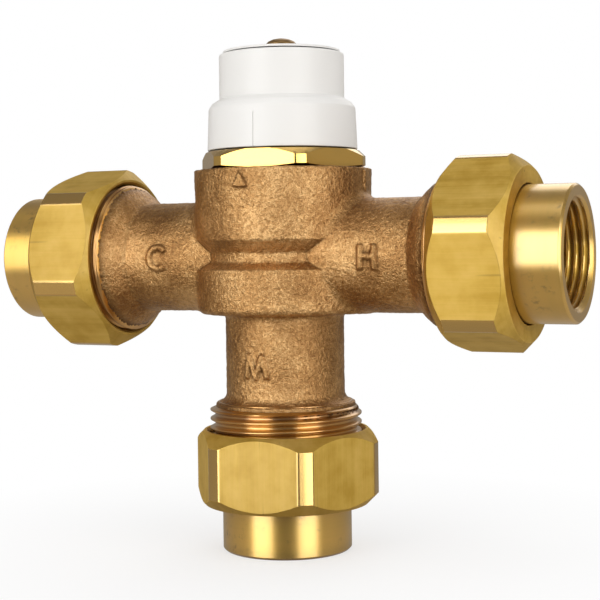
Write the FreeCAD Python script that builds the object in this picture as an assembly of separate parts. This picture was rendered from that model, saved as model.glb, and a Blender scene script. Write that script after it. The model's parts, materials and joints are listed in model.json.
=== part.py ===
"""Three-port mixing valve with union ends. Cast bronze body, hot inlet on +X, cold on -X, mixed outlet down.

Millimetres, +Z up. The origin is the centre of the outlet's end face, so the valve stands on Z = 0.
The waterways cross on the port axis, port_height above it. Heights inside the valve are given from that axis,
and lengths along a port are given outwards from the crossing.
The union threads have their true section; the screw threads shut inside the valve are plain, at pitch size.
"""
import FreeCAD, Part
import math
import os

from FreeCAD import Placement, Rotation, Vector

# ---- fits -------------------------------------------------------------------------------------------------
face_gap = 0.05         # between end faces that are pulled together
seat_gap = 0.1          # round a piece that is clamped, pressed or screwed in
running_gap = 0.08      # round the spindle, which turns
slide_gap = 0.15        # round a piece that slides
ring_squeeze = 0.05     # left free round each sealing ring's section

# ---- body casting -----------------------------------------------------------------------------------------
drum_radius_top = 21.9
drum_radius_bottom = 21.1       # casting draft
drum_top = 21.2
drum_bottom = -13.95
drum_round = 1.5
groove_top = 4.1                # waist groove between the two chambers
groove_bottom = -3.1
groove_radius = 18.9
groove_floor = 2.4
groove_middle = -0.1
groove_round = 1.0
arm_radius = 13.75
arm_blend = 3.0
stub_radius = 14.6
stub_blend = 1.4
rim_radius = 17.2               # cast rim behind each union thread
rim_blend = 2.6
rim_slope = 0.9
rim_land = 0.3
seam_width = 0.8                # mould seam in the plane of the ports
seam_height = 0.4

# ---- union ends -------------------------------------------------------------------------------------------
inlet_face = 53.75              # crossing to the machined end face
outlet_face = 51.9
inlet_thread = 11.95
outlet_thread = 14.9
thread_radius = 18.7
thread_depth = 1.2
thread_pitch = 2.1
thread_flat = 0.6
thread_gap = 0.15
thread_lead = 0.4               # plain length before the first crest
gasket_thickness = 1.8
gasket_bore = 10.8
gasket_radius = 17.2
tail_radius = 15.9
tail_length = 18.2
tail_chamfer = 0.5
collar_radius = 17.4
collar_length = 3.8
collar_round = 0.5
tail_water_radius = 10.4
tail_thread_radius = 12.0       # minor size of a 3/4 inch pipe thread
tail_thread_length = 14.2
nut_flats = 41.7
nut_corner_radius = 23.15
nut_face_radius = 20.2
nut_length = 18.2
nut_reach = 9.45                # from the body's end face back over its thread
nut_hole_gap = 0.6
nut_countersink = 0.8
nut_relief = 2.2                # where the nut's thread ends, past the body's end face
nut_turn = {"hot": 17.2, "cold": 41.2, "mixed": 37.1}   # corner of each nut, degrees from the front

# ---- bonnet -----------------------------------------------------------------------------------------------
bonnet_flats = 37.4
bonnet_corner_radius = 20.85
bonnet_flange = 4.4
bonnet_chamfer = 0.8
bonnet_turn = 38.0
bonnet_thread_radius = 17.0
bonnet_neck_radius = 16.0       # above the thread, where the sealing ring sits
bonnet_seal_radius = 18.4
bonnet_seal_depth = 2.6
bonnet_seat = 8.8               # lower rim, which is the cold seat
bonnet_seat_radius = 13.9
bonnet_seat_cone = 2.7
bonnet_bore = 12.8
hex_bore_start = 12.0
hex_bore_top = 28.7
tower_radius = 15.0
tower_top = 34.4
spindle_ledge = 31.2
neck_radius = 8.6
neck_top = 42.0

# ---- spindle and cap --------------------------------------------------------------------------------------
spindle_radius = 4.95
spindle_screw_radius = 4.4
spindle_bottom = 19.4
spindle_collar_radius = 7.0
spindle_collar_length = 1.6
washer_thickness = 0.7
spindle_shoulder = 43.5
spindle_top = 47.2
drive_flats = 8.2
tap_depth = 9.5
spindle_seal_heights = {"lower": 34.4, "upper": 38.6}
spindle_seal_width = 1.5
spindle_seal_depth = 1.05
clip_thickness = 0.8
clip_radius = 6.9
clip_depth = 0.85
clip_mouth = 5.6
skirt_bottom = 26.0
skirt_radius = 18.5
skirt_taper = 0.4
skirt_top = 36.2
shoulder_radius = 17.2
shoulder_height = 37.5
cap_radius = 15.4
cap_waist = 38.6
cap_top = 49.6
cap_chamfer = 0.5
cap_wall = 1.9
cap_roof = 2.4
boss_radius = 7.2
rib_count = 6
rib_thickness = 1.2
rib_drop = 2.0
mark_width = 0.4
mark_depth = 0.3
mark_turn = 4.3
disc_radius = 14.45
disc_thickness = 0.6
disc_lift = 0.3
disc_recess_radius = 12.6
disc_recess = 0.9
screw_radius = 1.9
screw_reach = 8.5
screw_head_radius = 3.9
screw_head_height = 3.1
screw_head_edge = 1.3
screw_slot_width = 0.9
screw_slot_depth = 1.1
screw_slot_turn = 12.0

# ---- regulating parts -------------------------------------------------------------------------------------
carrier_flats = 21.7
carrier_corner_radius = 12.3
carrier_bottom = 11.5
carrier_length = 14.0
carrier_roof = 4.0
carrier_bore = 9.4
keeper_height = 0.5             # carrier's lower end to the wire ring that closes it
keeper_thickness = 0.8
keeper_depth = 0.9
keeper_bore = 7.6
keeper_mouth = 5.0
cup_radius = 9.1
cup_thickness = 1.4
cup_socket = 0.8
overload_wire = 1.5
overload_radius = 7.7
overload_turns = 3
piston_radius = 1.9
piston_bottom = -2.0
guide_radius = 3.6
guide_top = 9.0
flange_radius = 8.2
flange_thickness = 1.4
bulb_radius = 6.6
bulb_bottom = -20.0
bulb_round = 1.5
wax_bore_bottom = -8.0
shuttle_radius = 13.4
shuttle_bore = 11.8
shuttle_bottom = -7.0
shuttle_top = 7.6
web_bottom = -1.4
web_top = 2.2
hub_radius = 9.6
slot_count = 4
spoke_width = 3.2
shuttle_seal_height = 0.4
shuttle_seal_width = 1.9
shuttle_seal_depth = 1.35
return_wire = 1.4
return_radius = 8.4
return_turns = 5

# ---- waterways --------------------------------------------------------------------------------------------
land_radius = 13.6              # bore between the chambers, which the shuttle slides in
land_bottom = -1.9
land_top = 2.7
cold_chamber_radius = 17.4
cold_chamber_top = 9.6
hot_chamber_radius = 17.0
hot_seat = -8.2
mixing_bore = 11.0
spring_ledge = -24.0
spring_ledge_length = 3.0
spring_ledge_bore = 7.6
outlet_bore = 10.4
duct_width = 14.0
duct_round = 2.0
duct_margin = 0.3               # duct stays this far inside its chamber's height
pocket_radius = 8.4
inlet_bore = 9.6

# ---- check valves and strainers, along the port -----------------------------------------------------------
cage_inner = 27.0
cage_seat = 37.4
cage_outer = 43.0
cage_bore = 7.9
cage_mouth = 5.4
cage_flare = 2.2
cage_spider = 2.0
cage_hub_radius = 3.0
cage_hub_length = 3.6
cage_spokes = 3
cage_spoke_width = 1.6
cage_seal_at = 40.6
cage_seal_width = 1.7
cage_seal_depth = 1.15
poppet_radius = 6.9
poppet_thickness = 2.2
poppet_nose_radius = 4.8
poppet_nose = 1.2
poppet_stem_radius = 1.6
poppet_stem_end = 28.4
poppet_travel = 2.5
poppet_run_out = 1.5            # left beyond the stem when the valve is wide open
poppet_seal_radius = 5.9
poppet_seal_section = 0.45
check_wire = 0.7
check_radius = 4.0
check_turns = 4
strainer_rim_radius = 11.5
strainer_rim = 1.4
strainer_radius = 9.0
strainer_wall = 0.6
strainer_end = 44.6
strainer_slots = 10
floor_slots = 7
strainer_slot_width = 1.8
strainer_slot_margin = 1.3

# ---- worked out -------------------------------------------------------------------------------------------
tail_inner = gasket_thickness + 2 * face_gap        # from the body's end face
collar_outer = tail_inner + collar_length
nut_outer = nut_length - nut_reach
nut_lip_inner = collar_outer + face_gap
port_height = outlet_face + tail_inner + tail_length
spindle_collar_top = spindle_ledge - washer_thickness - 2 * face_gap
seal_ledge = drum_top - bonnet_seal_depth
bonnet_bottom = drum_top + face_gap
keeper_low = carrier_bottom + keeper_height
cup_bottom = keeper_low + keeper_thickness + face_gap
cup_top = cup_bottom + cup_thickness
roof_bottom = carrier_bottom + carrier_length - carrier_roof
disc_floor = cap_top - disc_recess
disc_bottom = cap_top + disc_lift
disc_top = disc_bottom + disc_thickness
flange_bottom = web_top + face_gap
ports = {
    "hot": {"face": inlet_face, "thread": inlet_thread, "radius": arm_radius},
    "cold": {"face": inlet_face, "thread": inlet_thread, "radius": arm_radius},
    "mixed": {"face": outlet_face, "thread": outlet_thread, "radius": stub_radius},
}
far = 200.0                                         # longer than the valve, for cutting tools


# ---- small tools ------------------------------------------------------------------------------------------
def turned(outline):
    """Solid of revolution about Z from (radius, height) corners. A corner written as two pairs is reached by
    an arc through the first pair."""
    edges = []
    for here, there in zip(outline, outline[1:] + outline[:1]):
        start = here[-1] if isinstance(here[0], tuple) else here
        start = Vector(start[0], 0, start[1])
        if isinstance(there[0], tuple):
            middle, end = (Vector(r, 0, z) for r, z in there)
            edges.append(Part.Arc(start, middle, end).toShape())
        else:
            edges.append(Part.LineSegment(start, Vector(there[0], 0, there[1])).toShape())
    return Part.Face(Part.Wire(edges)).revolve(Vector(0, 0, 0), Vector(0, 0, 1), 360)


def rod(radius, low, high):
    return Part.makeCylinder(radius, high - low, Vector(0, 0, low))


def tube(outer, inner, low, high):
    return rod(outer, low, high).cut(rod(inner, low, high))


def block(x, y, z):
    """Box from its (low, high) along each axis."""
    return Part.makeBox(x[1] - x[0], y[1] - y[0], z[1] - z[0], Vector(x[0], y[0], z[0]))


def hexagon(flats, low, high, turn=0.0):
    """Hexagonal prism with a corner at turn degrees from the front, -Y, towards +X."""
    corner = flats / 2 / math.cos(math.pi / 6)
    angles = [math.radians(turn - 90 + 60 * k) for k in range(7)]
    points = [Vector(corner * math.cos(a), corner * math.sin(a), low) for a in angles]
    return Part.Face(Part.makePolygon(points)).extrude(Vector(0, 0, high - low))


def near(value, target):
    return abs(value - target) < 0.01


def is_circle(edge, radius):
    return isinstance(edge.Curve, Part.Circle) and near(edge.Curve.Radius, radius)


def around(shape, count, first=0.0):
    """Copies of shape, evenly spaced round Z, the first one turned by first degrees."""
    return [spun(shape, first + 360.0 / count * k) for k in range(count)]


def spun(shape, turn):
    return shape.rotated(Vector(0, 0, 0), Vector(0, 0, 1), turn)


def seal_between(inner, outer, height):
    """O-ring that fills the room between two radii."""
    return Part.makeTorus((inner + outer) / 2, (outer - inner) / 2 - ring_squeeze, Vector(0, 0, height))


def coil(radius, wire, low, high, turns):
    """Compression spring between two heights, with its mean coil radius given. Each half turn is a tilted
    half circle, level where it meets the next."""
    step = (high - low - wire) / turns / 2
    bulge = math.hypot(radius, step / 2)
    halves = []
    for k in range(2 * turns):
        side = -1 if k % 2 else 1
        start = Vector(side * radius, 0, k * step)
        middle = Vector(0, side * bulge, (k + 0.5) * step)
        end = Vector(-side * radius, 0, (k + 1) * step)
        halves.append(Part.Arc(start, middle, end).toShape())
    section = Part.Wire([Part.Circle(Vector(radius, 0, 0), Vector(0, 1, 0), wire / 2).toShape()])
    spring = Part.Wire(halves).makePipeShell([section], True, True)
    return spring.translated(Vector(0, 0, low + wire / 2))


def clip_ring(outer, inner, low, thickness, mouth):
    """Snap ring with an open side towards -Y."""
    ring = tube(outer, inner, low, low + thickness)
    return ring.cut(block((-mouth / 2, mouth / 2), (-outer - 1, 0), (low - 1, low + thickness + 1)))


def at_port(shape):
    """From heights above the port axis to the valve's frame."""
    return shape.translated(Vector(0, 0, port_height))


def along(shape, port):
    """From a port's own axis, +Z outwards from the crossing and -Y to the front, to the valve's frame."""
    turn = {
        "hot": Rotation(Vector(0, 1, 0), 90),
        "cold": Rotation(Vector(0, 1, 0), -90),
        "mixed": Rotation(Vector(0, 1, 0), 180),
    }[port]
    moved = shape.copy()
    moved.Placement = Placement(Vector(0, 0, port_height), turn).multiply(moved.Placement)
    return moved


def thread_section(low, high, grow=0.0):
    """Corners of a 60 degree thread between two heights, from low to high, with every radius grown."""
    crest = thread_radius + grow
    root = crest - thread_depth
    half_flat = thread_flat / 2
    half_pitch = thread_pitch / 2
    corners = [(root, high)]
    middle = high - thread_lead - half_pitch
    while middle - half_pitch >= low:
        corners += [(root, middle + half_pitch), (crest, middle + half_flat), (crest, middle - half_flat)]
        corners.append((root, middle - half_pitch))
        middle -= thread_pitch
    corners.append((root, low))
    tidy = [p for p, q in zip(corners, corners[1:] + [None]) if p != q]
    return tidy[::-1]


# ---- body -------------------------------------------------------------------------------------------------
def port_end(face, thread, radius):
    """Neck, cast rim and machined thread of one port."""
    root = thread_radius - thread_depth
    start = face - thread
    rim = start - rim_land
    bend = rim_blend * math.sqrt(0.5)
    blend_top = rim - rim_slope
    outline = [
        (0, 0),
        (radius, 0),
        (radius, blend_top - rim_blend),
        ((radius + rim_blend - bend, blend_top - rim_blend + bend), (radius + rim_blend, blend_top)),
        (rim_radius, rim),
        (rim_radius, start),
    ]
    outline += thread_section(start, face - thread_lead)
    return turned(outline + [(root - thread_lead, face), (0, face)])


def drum_radius(height):
    """Radius of the drum with its casting draft."""
    slope = (drum_radius_top - drum_radius_bottom) / (drum_top - drum_bottom)
    return drum_radius_top - slope * (drum_top - height)


def drum_cone(low, high, grow=0.0):
    return Part.makeCone(drum_radius(low) + grow, drum_radius(high) + grow, high - low, Vector(0, 0, low))


def drum_and_arms():
    """The round chamber housing with the arms blended in and the waist groove cut round it."""
    below = drum_bottom - arm_radius        # long enough for the blend to run out below the arms
    reach = 2 * drum_radius_top
    arms = Part.makeCylinder(arm_radius, 2 * reach, Vector(-reach, 0, 0), Vector(1, 0, 0))
    cross = drum_cone(below, drum_top).fuse(arms)
    joins = [e for e in cross.Edges if isinstance(e.Curve, Part.BSplineCurve)]
    cross = cross.makeFillet(arm_blend, joins)
    cross = cross.cut(rod(far, below - 1, drum_bottom))
    low_edge = [e for e in cross.Edges if is_circle(e, drum_radius_bottom)]
    rim = [e for e in low_edge if near(e.Curve.Center.z, drum_bottom)]
    cross = cross.makeFillet(drum_round, rim)
    keep = Part.makeCylinder(arm_radius + face_gap, far, Vector(-far / 2, 0, 0), Vector(1, 0, 0))
    return cross.cut(waist_ring().cut(keep))


def waist_ring():
    """What the waist groove takes away: a flat floor with a slope to the drum on each side."""
    low = groove_middle - groove_floor / 2
    high = groove_middle + groove_floor / 2
    step = 1.5 * (drum_radius_top - groove_radius)      # carries both slopes out past the drum
    rise = (groove_top - high) / (drum_radius(groove_top) - groove_radius) * step
    fall = (low - groove_bottom) / (drum_radius(groove_bottom) - groove_radius) * step
    outside = groove_radius + step
    ring = turned([(groove_radius, low), (groove_radius, high), (outside, high + rise), (outside, low - fall)])
    floor = [e for e in ring.Edges if is_circle(e, groove_radius)]
    return ring.makeFillet(groove_round, floor)


def seams():
    """Ridge left by the mould, down the drum's sides to the arms."""
    half = seam_width / 2
    top = drum_top - seam_width
    strip = block((-far, far), (-half, half), (arm_radius, top))
    return strip.common(drum_cone(arm_radius, top, seam_height))


def duct(low, high, side):
    """Cored passage from an arm to its ring chamber; side is 1 towards +X."""
    inner = min(cold_chamber_radius, hot_chamber_radius) - duct_round
    outer = cage_inner - face_gap
    half = duct_width / 2
    hole = block((inner, outer), (-half, half), (low, high))
    lengthways = [e for e in hole.Edges if abs(e.Length - (outer - inner)) < 0.01]
    hole = hole.makeFillet(duct_round, lengthways)
    return hole if side > 0 else hole.mirror(Vector(0, 0, 0), Vector(1, 0, 0))


def waterways():
    """Everything that is hollow inside the body, as pieces to cut, in heights above the port axis."""
    well = turned(
        [
            (0, drum_top + 1),
            (bonnet_seal_radius, drum_top + 1),
            (bonnet_seal_radius, seal_ledge),
            (bonnet_thread_radius + seat_gap, seal_ledge),
            (bonnet_thread_radius + seat_gap, cold_chamber_top),
            (cold_chamber_radius, cold_chamber_top),
            (cold_chamber_radius, land_top),
            (land_radius, land_top),
            (land_radius, land_bottom),
            (hot_chamber_radius, land_bottom),
            (hot_chamber_radius, hot_seat),
            (mixing_bore, hot_seat),
            (mixing_bore, spring_ledge),
            (spring_ledge_bore, spring_ledge),
            (spring_ledge_bore, spring_ledge - spring_ledge_length),
            (outlet_bore, spring_ledge - spring_ledge_length),
            (outlet_bore, -outlet_face - 1),
            (0, -outlet_face - 1),
        ]
    )
    cold_duct = duct(land_top + duct_margin, cold_chamber_top - duct_margin, -1)
    hot_duct = duct(hot_seat + duct_margin, land_bottom - duct_margin, 1)
    return [well, cold_duct, hot_duct]


def inlet_hollow():
    """Bore of an inlet for its check valve and strainer, along the port."""
    ledge = cage_inner - face_gap
    rim_floor = inlet_face - strainer_rim - face_gap
    pocket = poppet_stem_end - poppet_travel - poppet_run_out
    return turned(
        [
            (0, pocket),
            (pocket_radius, pocket),
            (pocket_radius, ledge),
            (inlet_bore, ledge),
            (inlet_bore, rim_floor),
            (strainer_rim_radius + seat_gap, rim_floor),
            (strainer_rim_radius + seat_gap, inlet_face + 1),
            (0, inlet_face + 1),
        ]
    )


def body():
    outside = at_port(drum_and_arms().fuse(seams()))
    stub = along(port_end(outlet_face, outlet_thread, stub_radius), "mixed")
    outside = outside.fuse(stub)
    top = port_height + drum_bottom
    joins = [e for e in outside.Edges if is_circle(e, stub_radius) and near(e.Curve.Center.z, top)]
    outside = outside.makeFillet(stub_blend, joins)
    for port in ("hot", "cold"):
        neck = port_end(inlet_face, inlet_thread, arm_radius)
        start = drum_radius_top + 2 * arm_blend
        outside = outside.cut(along(rod(far, start, far), port))
        outside = outside.fuse(along(neck.cut(rod(far, -1, start)), port))
    hollows = [at_port(shape) for shape in waterways()]
    hollows += [along(inlet_hollow(), port) for port in ("hot", "cold")]
    return outside.cut(hollows)


# ---- union pieces -----------------------------------------------------------------------------------------
def gasket(port):
    face = ports[port]["face"] + face_gap
    return along(tube(gasket_radius, gasket_bore, face, face + gasket_thickness), port)


def tailpiece(port):
    """Female-threaded tail, with the collar that its nut pulls on."""
    face = ports[port]["face"]
    inner = face + tail_inner
    outer = inner + tail_length
    collar = face + collar_outer
    thread_end = outer - tail_thread_length
    bend = collar_round * (1 - math.sqrt(0.5))
    lead = tail_water_radius - tail_thread_radius
    mouth = tail_thread_radius
    outline = [
        (tail_water_radius, inner),
        (collar_radius - tail_chamfer, inner),
        (collar_radius, inner + tail_chamfer),
        (collar_radius, collar),
        (tail_radius + collar_round, collar),
        ((tail_radius + bend, collar + bend), (tail_radius, collar + collar_round)),
        (tail_radius, outer - tail_chamfer),
        (tail_radius - tail_chamfer, outer),
        (mouth + tail_chamfer, outer),
        (mouth, outer - tail_chamfer),
        (mouth, thread_end),
        (tail_water_radius, thread_end + lead),
    ]
    return along(turned(outline), port)


def union_nut(port):
    """Hexagonal nut, turned down at its corners, with its thread, relief and inner lip."""
    face = ports[port]["face"]
    low = face - nut_reach
    high = face + nut_outer
    slope = nut_corner_radius - nut_face_radius
    spin = nut_turn[port] if port == "mixed" else 90 - nut_turn[port]
    spin = -spin if port == "mixed" else spin
    blank = turned(
        [
            (0, low),
            (nut_face_radius, low),
            (nut_corner_radius, low + slope),
            (nut_corner_radius, high - slope),
            (nut_face_radius, high),
            (0, high),
        ]
    )
    blank = blank.common(hexagon(nut_flats, low, high, spin))
    crest = thread_radius + thread_gap
    root = crest - thread_depth
    sink = crest + nut_countersink
    hole = tail_radius + nut_hole_gap
    relief = face + nut_relief
    lip = face + nut_lip_inner
    below = low - 2 * thread_pitch
    thread = [(0, below)] + thread_section(below, face - thread_lead, thread_gap)
    thread += [(root, relief), (crest, relief + crest - root), (crest, lip), (hole, lip), (hole, high + 1)]
    countersink = [(0, low - 1), (sink, low - 1), (sink, low), (0, low + sink)]
    return along(blank.cut([turned(thread + [(0, high + 1)]), turned(countersink)]), port)


# ---- bonnet -----------------------------------------------------------------------------------------------
def bonnet():
    """Hexagon-headed bonnet; its lower rim is the cold seat and its hexagonal bore guides the carrier."""
    flange_top = bonnet_bottom + bonnet_flange
    cone_top = bonnet_seat + bonnet_seat_cone
    corner = bonnet_corner_radius
    edge = corner - bonnet_chamfer
    flange = turned(
        [
            (0, bonnet_bottom),
            (edge, bonnet_bottom),
            (corner, bonnet_bottom + bonnet_chamfer),
            (corner, flange_top - bonnet_chamfer),
            (edge, flange_top),
            (0, flange_top),
        ]
    )
    flange = flange.common(hexagon(bonnet_flats, bonnet_bottom, flange_top, bonnet_turn))
    stem = turned(
        [
            (0, bonnet_seat),
            (bonnet_seat_radius, bonnet_seat),
            (bonnet_thread_radius, cone_top),
            (bonnet_thread_radius, seal_ledge),
            (bonnet_neck_radius, seal_ledge),
            (bonnet_neck_radius, flange_top),
            (tower_radius, flange_top),
            (tower_radius, tower_top - bonnet_chamfer),
            (tower_radius - bonnet_chamfer, tower_top),
            (neck_radius, tower_top),
            (neck_radius, neck_top - bonnet_chamfer),
            (neck_radius - bonnet_chamfer, neck_top),
            (0, neck_top),
        ]
    )
    hollow = turned(
        [
            (0, bonnet_seat - 1),
            (bonnet_bore, bonnet_seat - 1),
            (bonnet_bore, hex_bore_start),
            (spindle_collar_radius + slide_gap, hex_bore_start),
            (spindle_collar_radius + slide_gap, spindle_ledge),
            (spindle_radius + running_gap, spindle_ledge),
            (spindle_radius + running_gap, neck_top + 1),
            (0, neck_top + 1),
        ]
    )
    hex_bore = hexagon(carrier_flats + 2 * slide_gap, hex_bore_start - 1, hex_bore_top, bonnet_turn)
    round_limit = rod(carrier_corner_radius + slide_gap, hex_bore_start - 1, hex_bore_top)
    return at_port(flange.fuse(stem).cut([hollow, hex_bore.common(round_limit)]))


def bonnet_seal():
    height = (drum_top + seal_ledge) / 2
    return at_port(seal_between(bonnet_neck_radius, bonnet_seal_radius, height))


# ---- spindle, cap and what turns with them ----------------------------------------------------------------
def spindle():
    """Non-rising spindle: screw for the carrier, thrust collar, seal grooves, clip groove and flatted drive."""
    collar_low = spindle_collar_top - spindle_collar_length
    clip_low = neck_top + face_gap
    root = spindle_radius - spindle_seal_depth
    outline = [
        (0, spindle_bottom),
        (spindle_screw_radius - tail_chamfer, spindle_bottom),
        (spindle_screw_radius, spindle_bottom + tail_chamfer),
        (spindle_screw_radius, collar_low),
        (spindle_collar_radius, collar_low),
        (spindle_collar_radius, spindle_collar_top),
        (spindle_radius, spindle_collar_top),
    ]
    for height in spindle_seal_heights.values():
        low = height - spindle_seal_width / 2
        high = height + spindle_seal_width / 2
        outline += [(spindle_radius, low), (root, low), (root, high), (spindle_radius, high)]
    outline += [
        (spindle_radius, clip_low),
        (spindle_radius - clip_depth, clip_low),
        (spindle_radius - clip_depth, clip_low + clip_thickness),
        (spindle_radius, clip_low + clip_thickness),
        (spindle_radius, spindle_top),
        (0, spindle_top),
    ]
    half = drive_flats / 2
    sides = [
        block((-far, far), (half, far), (spindle_shoulder, far)),
        block((-far, far), (-far, -half), (spindle_shoulder, far)),
        rod(screw_radius + face_gap, spindle_top - tap_depth, spindle_top + 1),
    ]
    return at_port(turned(outline).cut(sides))


def spindle_seal(which):
    root = spindle_radius - spindle_seal_depth
    return at_port(seal_between(root, spindle_radius + running_gap, spindle_seal_heights[which]))


def thrust_washer():
    low = spindle_collar_top + face_gap
    return at_port(tube(spindle_collar_radius, spindle_radius + seat_gap, low, low + washer_thickness))


def spindle_clip():
    low = neck_top + 2 * face_gap
    inner = spindle_radius - clip_depth + face_gap
    return at_port(clip_ring(clip_radius, inner, low, clip_thickness - 2 * face_gap, clip_mouth))


def cap():
    """Moulded cap: skirt, sloping shoulder, upper cylinder, driving boss and stiffening ribs."""
    top_radius = skirt_radius - skirt_taper
    ceiling = cap_top - cap_roof
    waist_inside = cap_waist - cap_wall
    upper_bore = cap_radius - cap_wall
    shell = turned(
        [
            (skirt_radius - cap_wall, skirt_bottom),
            (skirt_radius, skirt_bottom),
            (top_radius, skirt_top),
            (shoulder_radius, shoulder_height),
            (cap_radius, cap_waist),
            (cap_radius, cap_top - cap_chamfer),
            (cap_radius - cap_chamfer, cap_top),
            (disc_recess_radius, cap_top),
            (disc_recess_radius, disc_floor),
            (0, disc_floor),
            (0, ceiling),
            (upper_bore, ceiling),
            (upper_bore, waist_inside),
            (shoulder_radius - cap_wall, shoulder_height - cap_wall),
            (top_radius - cap_wall, skirt_top - cap_wall),
        ]
    )
    shoulder = [e for e in shell.Edges if is_circle(e, top_radius) or is_circle(e, shoulder_radius)]
    shell = shell.makeFillet(cap_wall / 2, shoulder)
    boss = rod(boss_radius, spindle_shoulder + face_gap, ceiling)
    rib = block((boss_radius - 1, upper_bore + 1), (-rib_thickness / 2, rib_thickness / 2),
                (ceiling - rib_drop, ceiling + 1))
    flat = (drive_flats / 2) + seat_gap
    socket = rod(spindle_radius + seat_gap, 0, spindle_top + seat_gap)
    socket = socket.common(block((-far, far), (-flat, flat), (0, far)))
    hole = rod(screw_radius + slide_gap, ceiling - 1, cap_top)
    mark = block((-mark_width / 2, mark_width / 2), (-skirt_radius - 1, mark_depth - skirt_radius),
                 (skirt_bottom - 1, skirt_top - cap_wall))
    ribs = around(rib, rib_count, 180.0 / rib_count)
    return at_port(shell.fuse([boss] + ribs).cut([socket, hole, spun(mark, mark_turn)]))


def cap_disc():
    """Plain disc on top of the cap, with a spigot in the cap's recess."""
    disc = turned(
        [
            (screw_radius + slide_gap, disc_floor + face_gap),
            (disc_recess_radius - seat_gap, disc_floor + face_gap),
            (disc_recess_radius - seat_gap, disc_bottom),
            (disc_radius, disc_bottom),
            (disc_radius, disc_top - disc_lift),
            (disc_radius - disc_lift, disc_top),
            (screw_radius + slide_gap, disc_top),
        ]
    )
    return at_port(disc)


def cap_screw():
    """Round-headed slotted screw that holds the disc and cap on the spindle."""
    low = disc_top + face_gap
    high = low + screw_head_height
    edge = low + screw_head_edge
    bend = math.sqrt(0.5)
    dome = screw_head_height - screw_head_edge
    head = turned(
        [
            (0, low - screw_reach),
            (screw_radius - tail_chamfer, low - screw_reach),
            (screw_radius, low - screw_reach + tail_chamfer),
            (screw_radius, low),
            (screw_head_radius, low),
            (screw_head_radius, edge),
            ((screw_head_radius * 0.68, edge + dome * bend), (0, high)),
        ]
    )
    half = screw_slot_width / 2
    slot = block((-far, far), (-half, half), (high - screw_slot_depth, far))
    return at_port(head.cut(spun(slot, screw_slot_turn)))


# ---- regulating parts -------------------------------------------------------------------------------------
def carrier():
    """Hexagonal nut that the spindle raises and lowers; it holds the overload spring and its cup."""
    high = carrier_bottom + carrier_length
    blank = hexagon(carrier_flats, carrier_bottom, high, bonnet_turn)
    blank = blank.common(rod(carrier_corner_radius, carrier_bottom, high))
    groove = rod(carrier_bore + keeper_depth, keeper_low, keeper_low + keeper_thickness)
    hollows = [
        rod(carrier_bore, carrier_bottom - 1, roof_bottom),
        rod(spindle_screw_radius + face_gap, carrier_bottom - 1, high + 1),
        groove,
    ]
    return at_port(blank.cut(hollows))


def carrier_keeper():
    """Snap ring in the carrier's groove, which the cup rests on."""
    outer = carrier_bore + keeper_depth - face_gap
    thickness = keeper_thickness - 2 * face_gap
    return at_port(clip_ring(outer, keeper_bore, keeper_low + face_gap, thickness, keeper_mouth))


def overload_cup():
    """Cup that the piston pushes on; the overload spring holds it down on the keeper."""
    cup = turned(
        [
            (0, cup_bottom),
            (cup_radius, cup_bottom),
            (cup_radius, cup_top),
            (0, cup_top),
        ]
    )
    return at_port(cup.cut(rod(piston_radius + seat_gap, cup_bottom - 1, cup_bottom + cup_socket)))


def overload_spring():
    low = cup_top + face_gap
    return at_port(coil(overload_radius, overload_wire, low, roof_bottom - face_gap, overload_turns))


def piston():
    return at_port(rod(piston_radius, piston_bottom, cup_bottom + cup_socket - face_gap))


def wax_element():
    """Temperature-sensing capsule: bulb in the mixed water, flange on the shuttle and guide for the piston."""
    flange_top = flange_bottom + flange_thickness
    inner = bulb_radius - bulb_round
    bend = bulb_round * math.sqrt(0.5)
    shape = turned(
        [
            (0, bulb_bottom),
            (inner, bulb_bottom),
            ((inner + bend, bulb_bottom + bulb_round - bend), (bulb_radius, bulb_bottom + bulb_round)),
            (bulb_radius, flange_bottom),
            (flange_radius, flange_bottom),
            (flange_radius, flange_top),
            (guide_radius, flange_top + guide_radius / 2),
            (guide_radius, guide_top),
            (piston_radius + face_gap, guide_top),
            (piston_radius + face_gap, wax_bore_bottom),
            (0, wax_bore_bottom),
        ]
    )
    return at_port(shape)


def shuttle():
    """Sleeve that shares the flow between the hot seat below it and the cold seat above it."""
    sleeve = tube(shuttle_radius, shuttle_bore, shuttle_bottom, shuttle_top)
    web = tube(shuttle_bore + 0.5, bulb_radius + seat_gap, web_bottom, web_top)
    ring = tube(shuttle_bore, hub_radius, web_bottom - 1, web_top + 1)
    half = spoke_width / 2
    spokes = around(block((0, far), (-half, half), (-far, far)), slot_count, 180.0 / slot_count)
    low = shuttle_seal_height - shuttle_seal_width / 2
    groove = tube(shuttle_radius + 1, shuttle_radius - shuttle_seal_depth, low, low + shuttle_seal_width)
    return at_port(sleeve.fuse(web.cut(ring.cut(spokes))).cut(groove))


def shuttle_seal():
    return at_port(seal_between(shuttle_radius - shuttle_seal_depth, land_radius, shuttle_seal_height))


def return_spring():
    low = spring_ledge + face_gap
    return at_port(coil(return_radius, return_wire, low, web_bottom - face_gap, return_turns))


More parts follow.
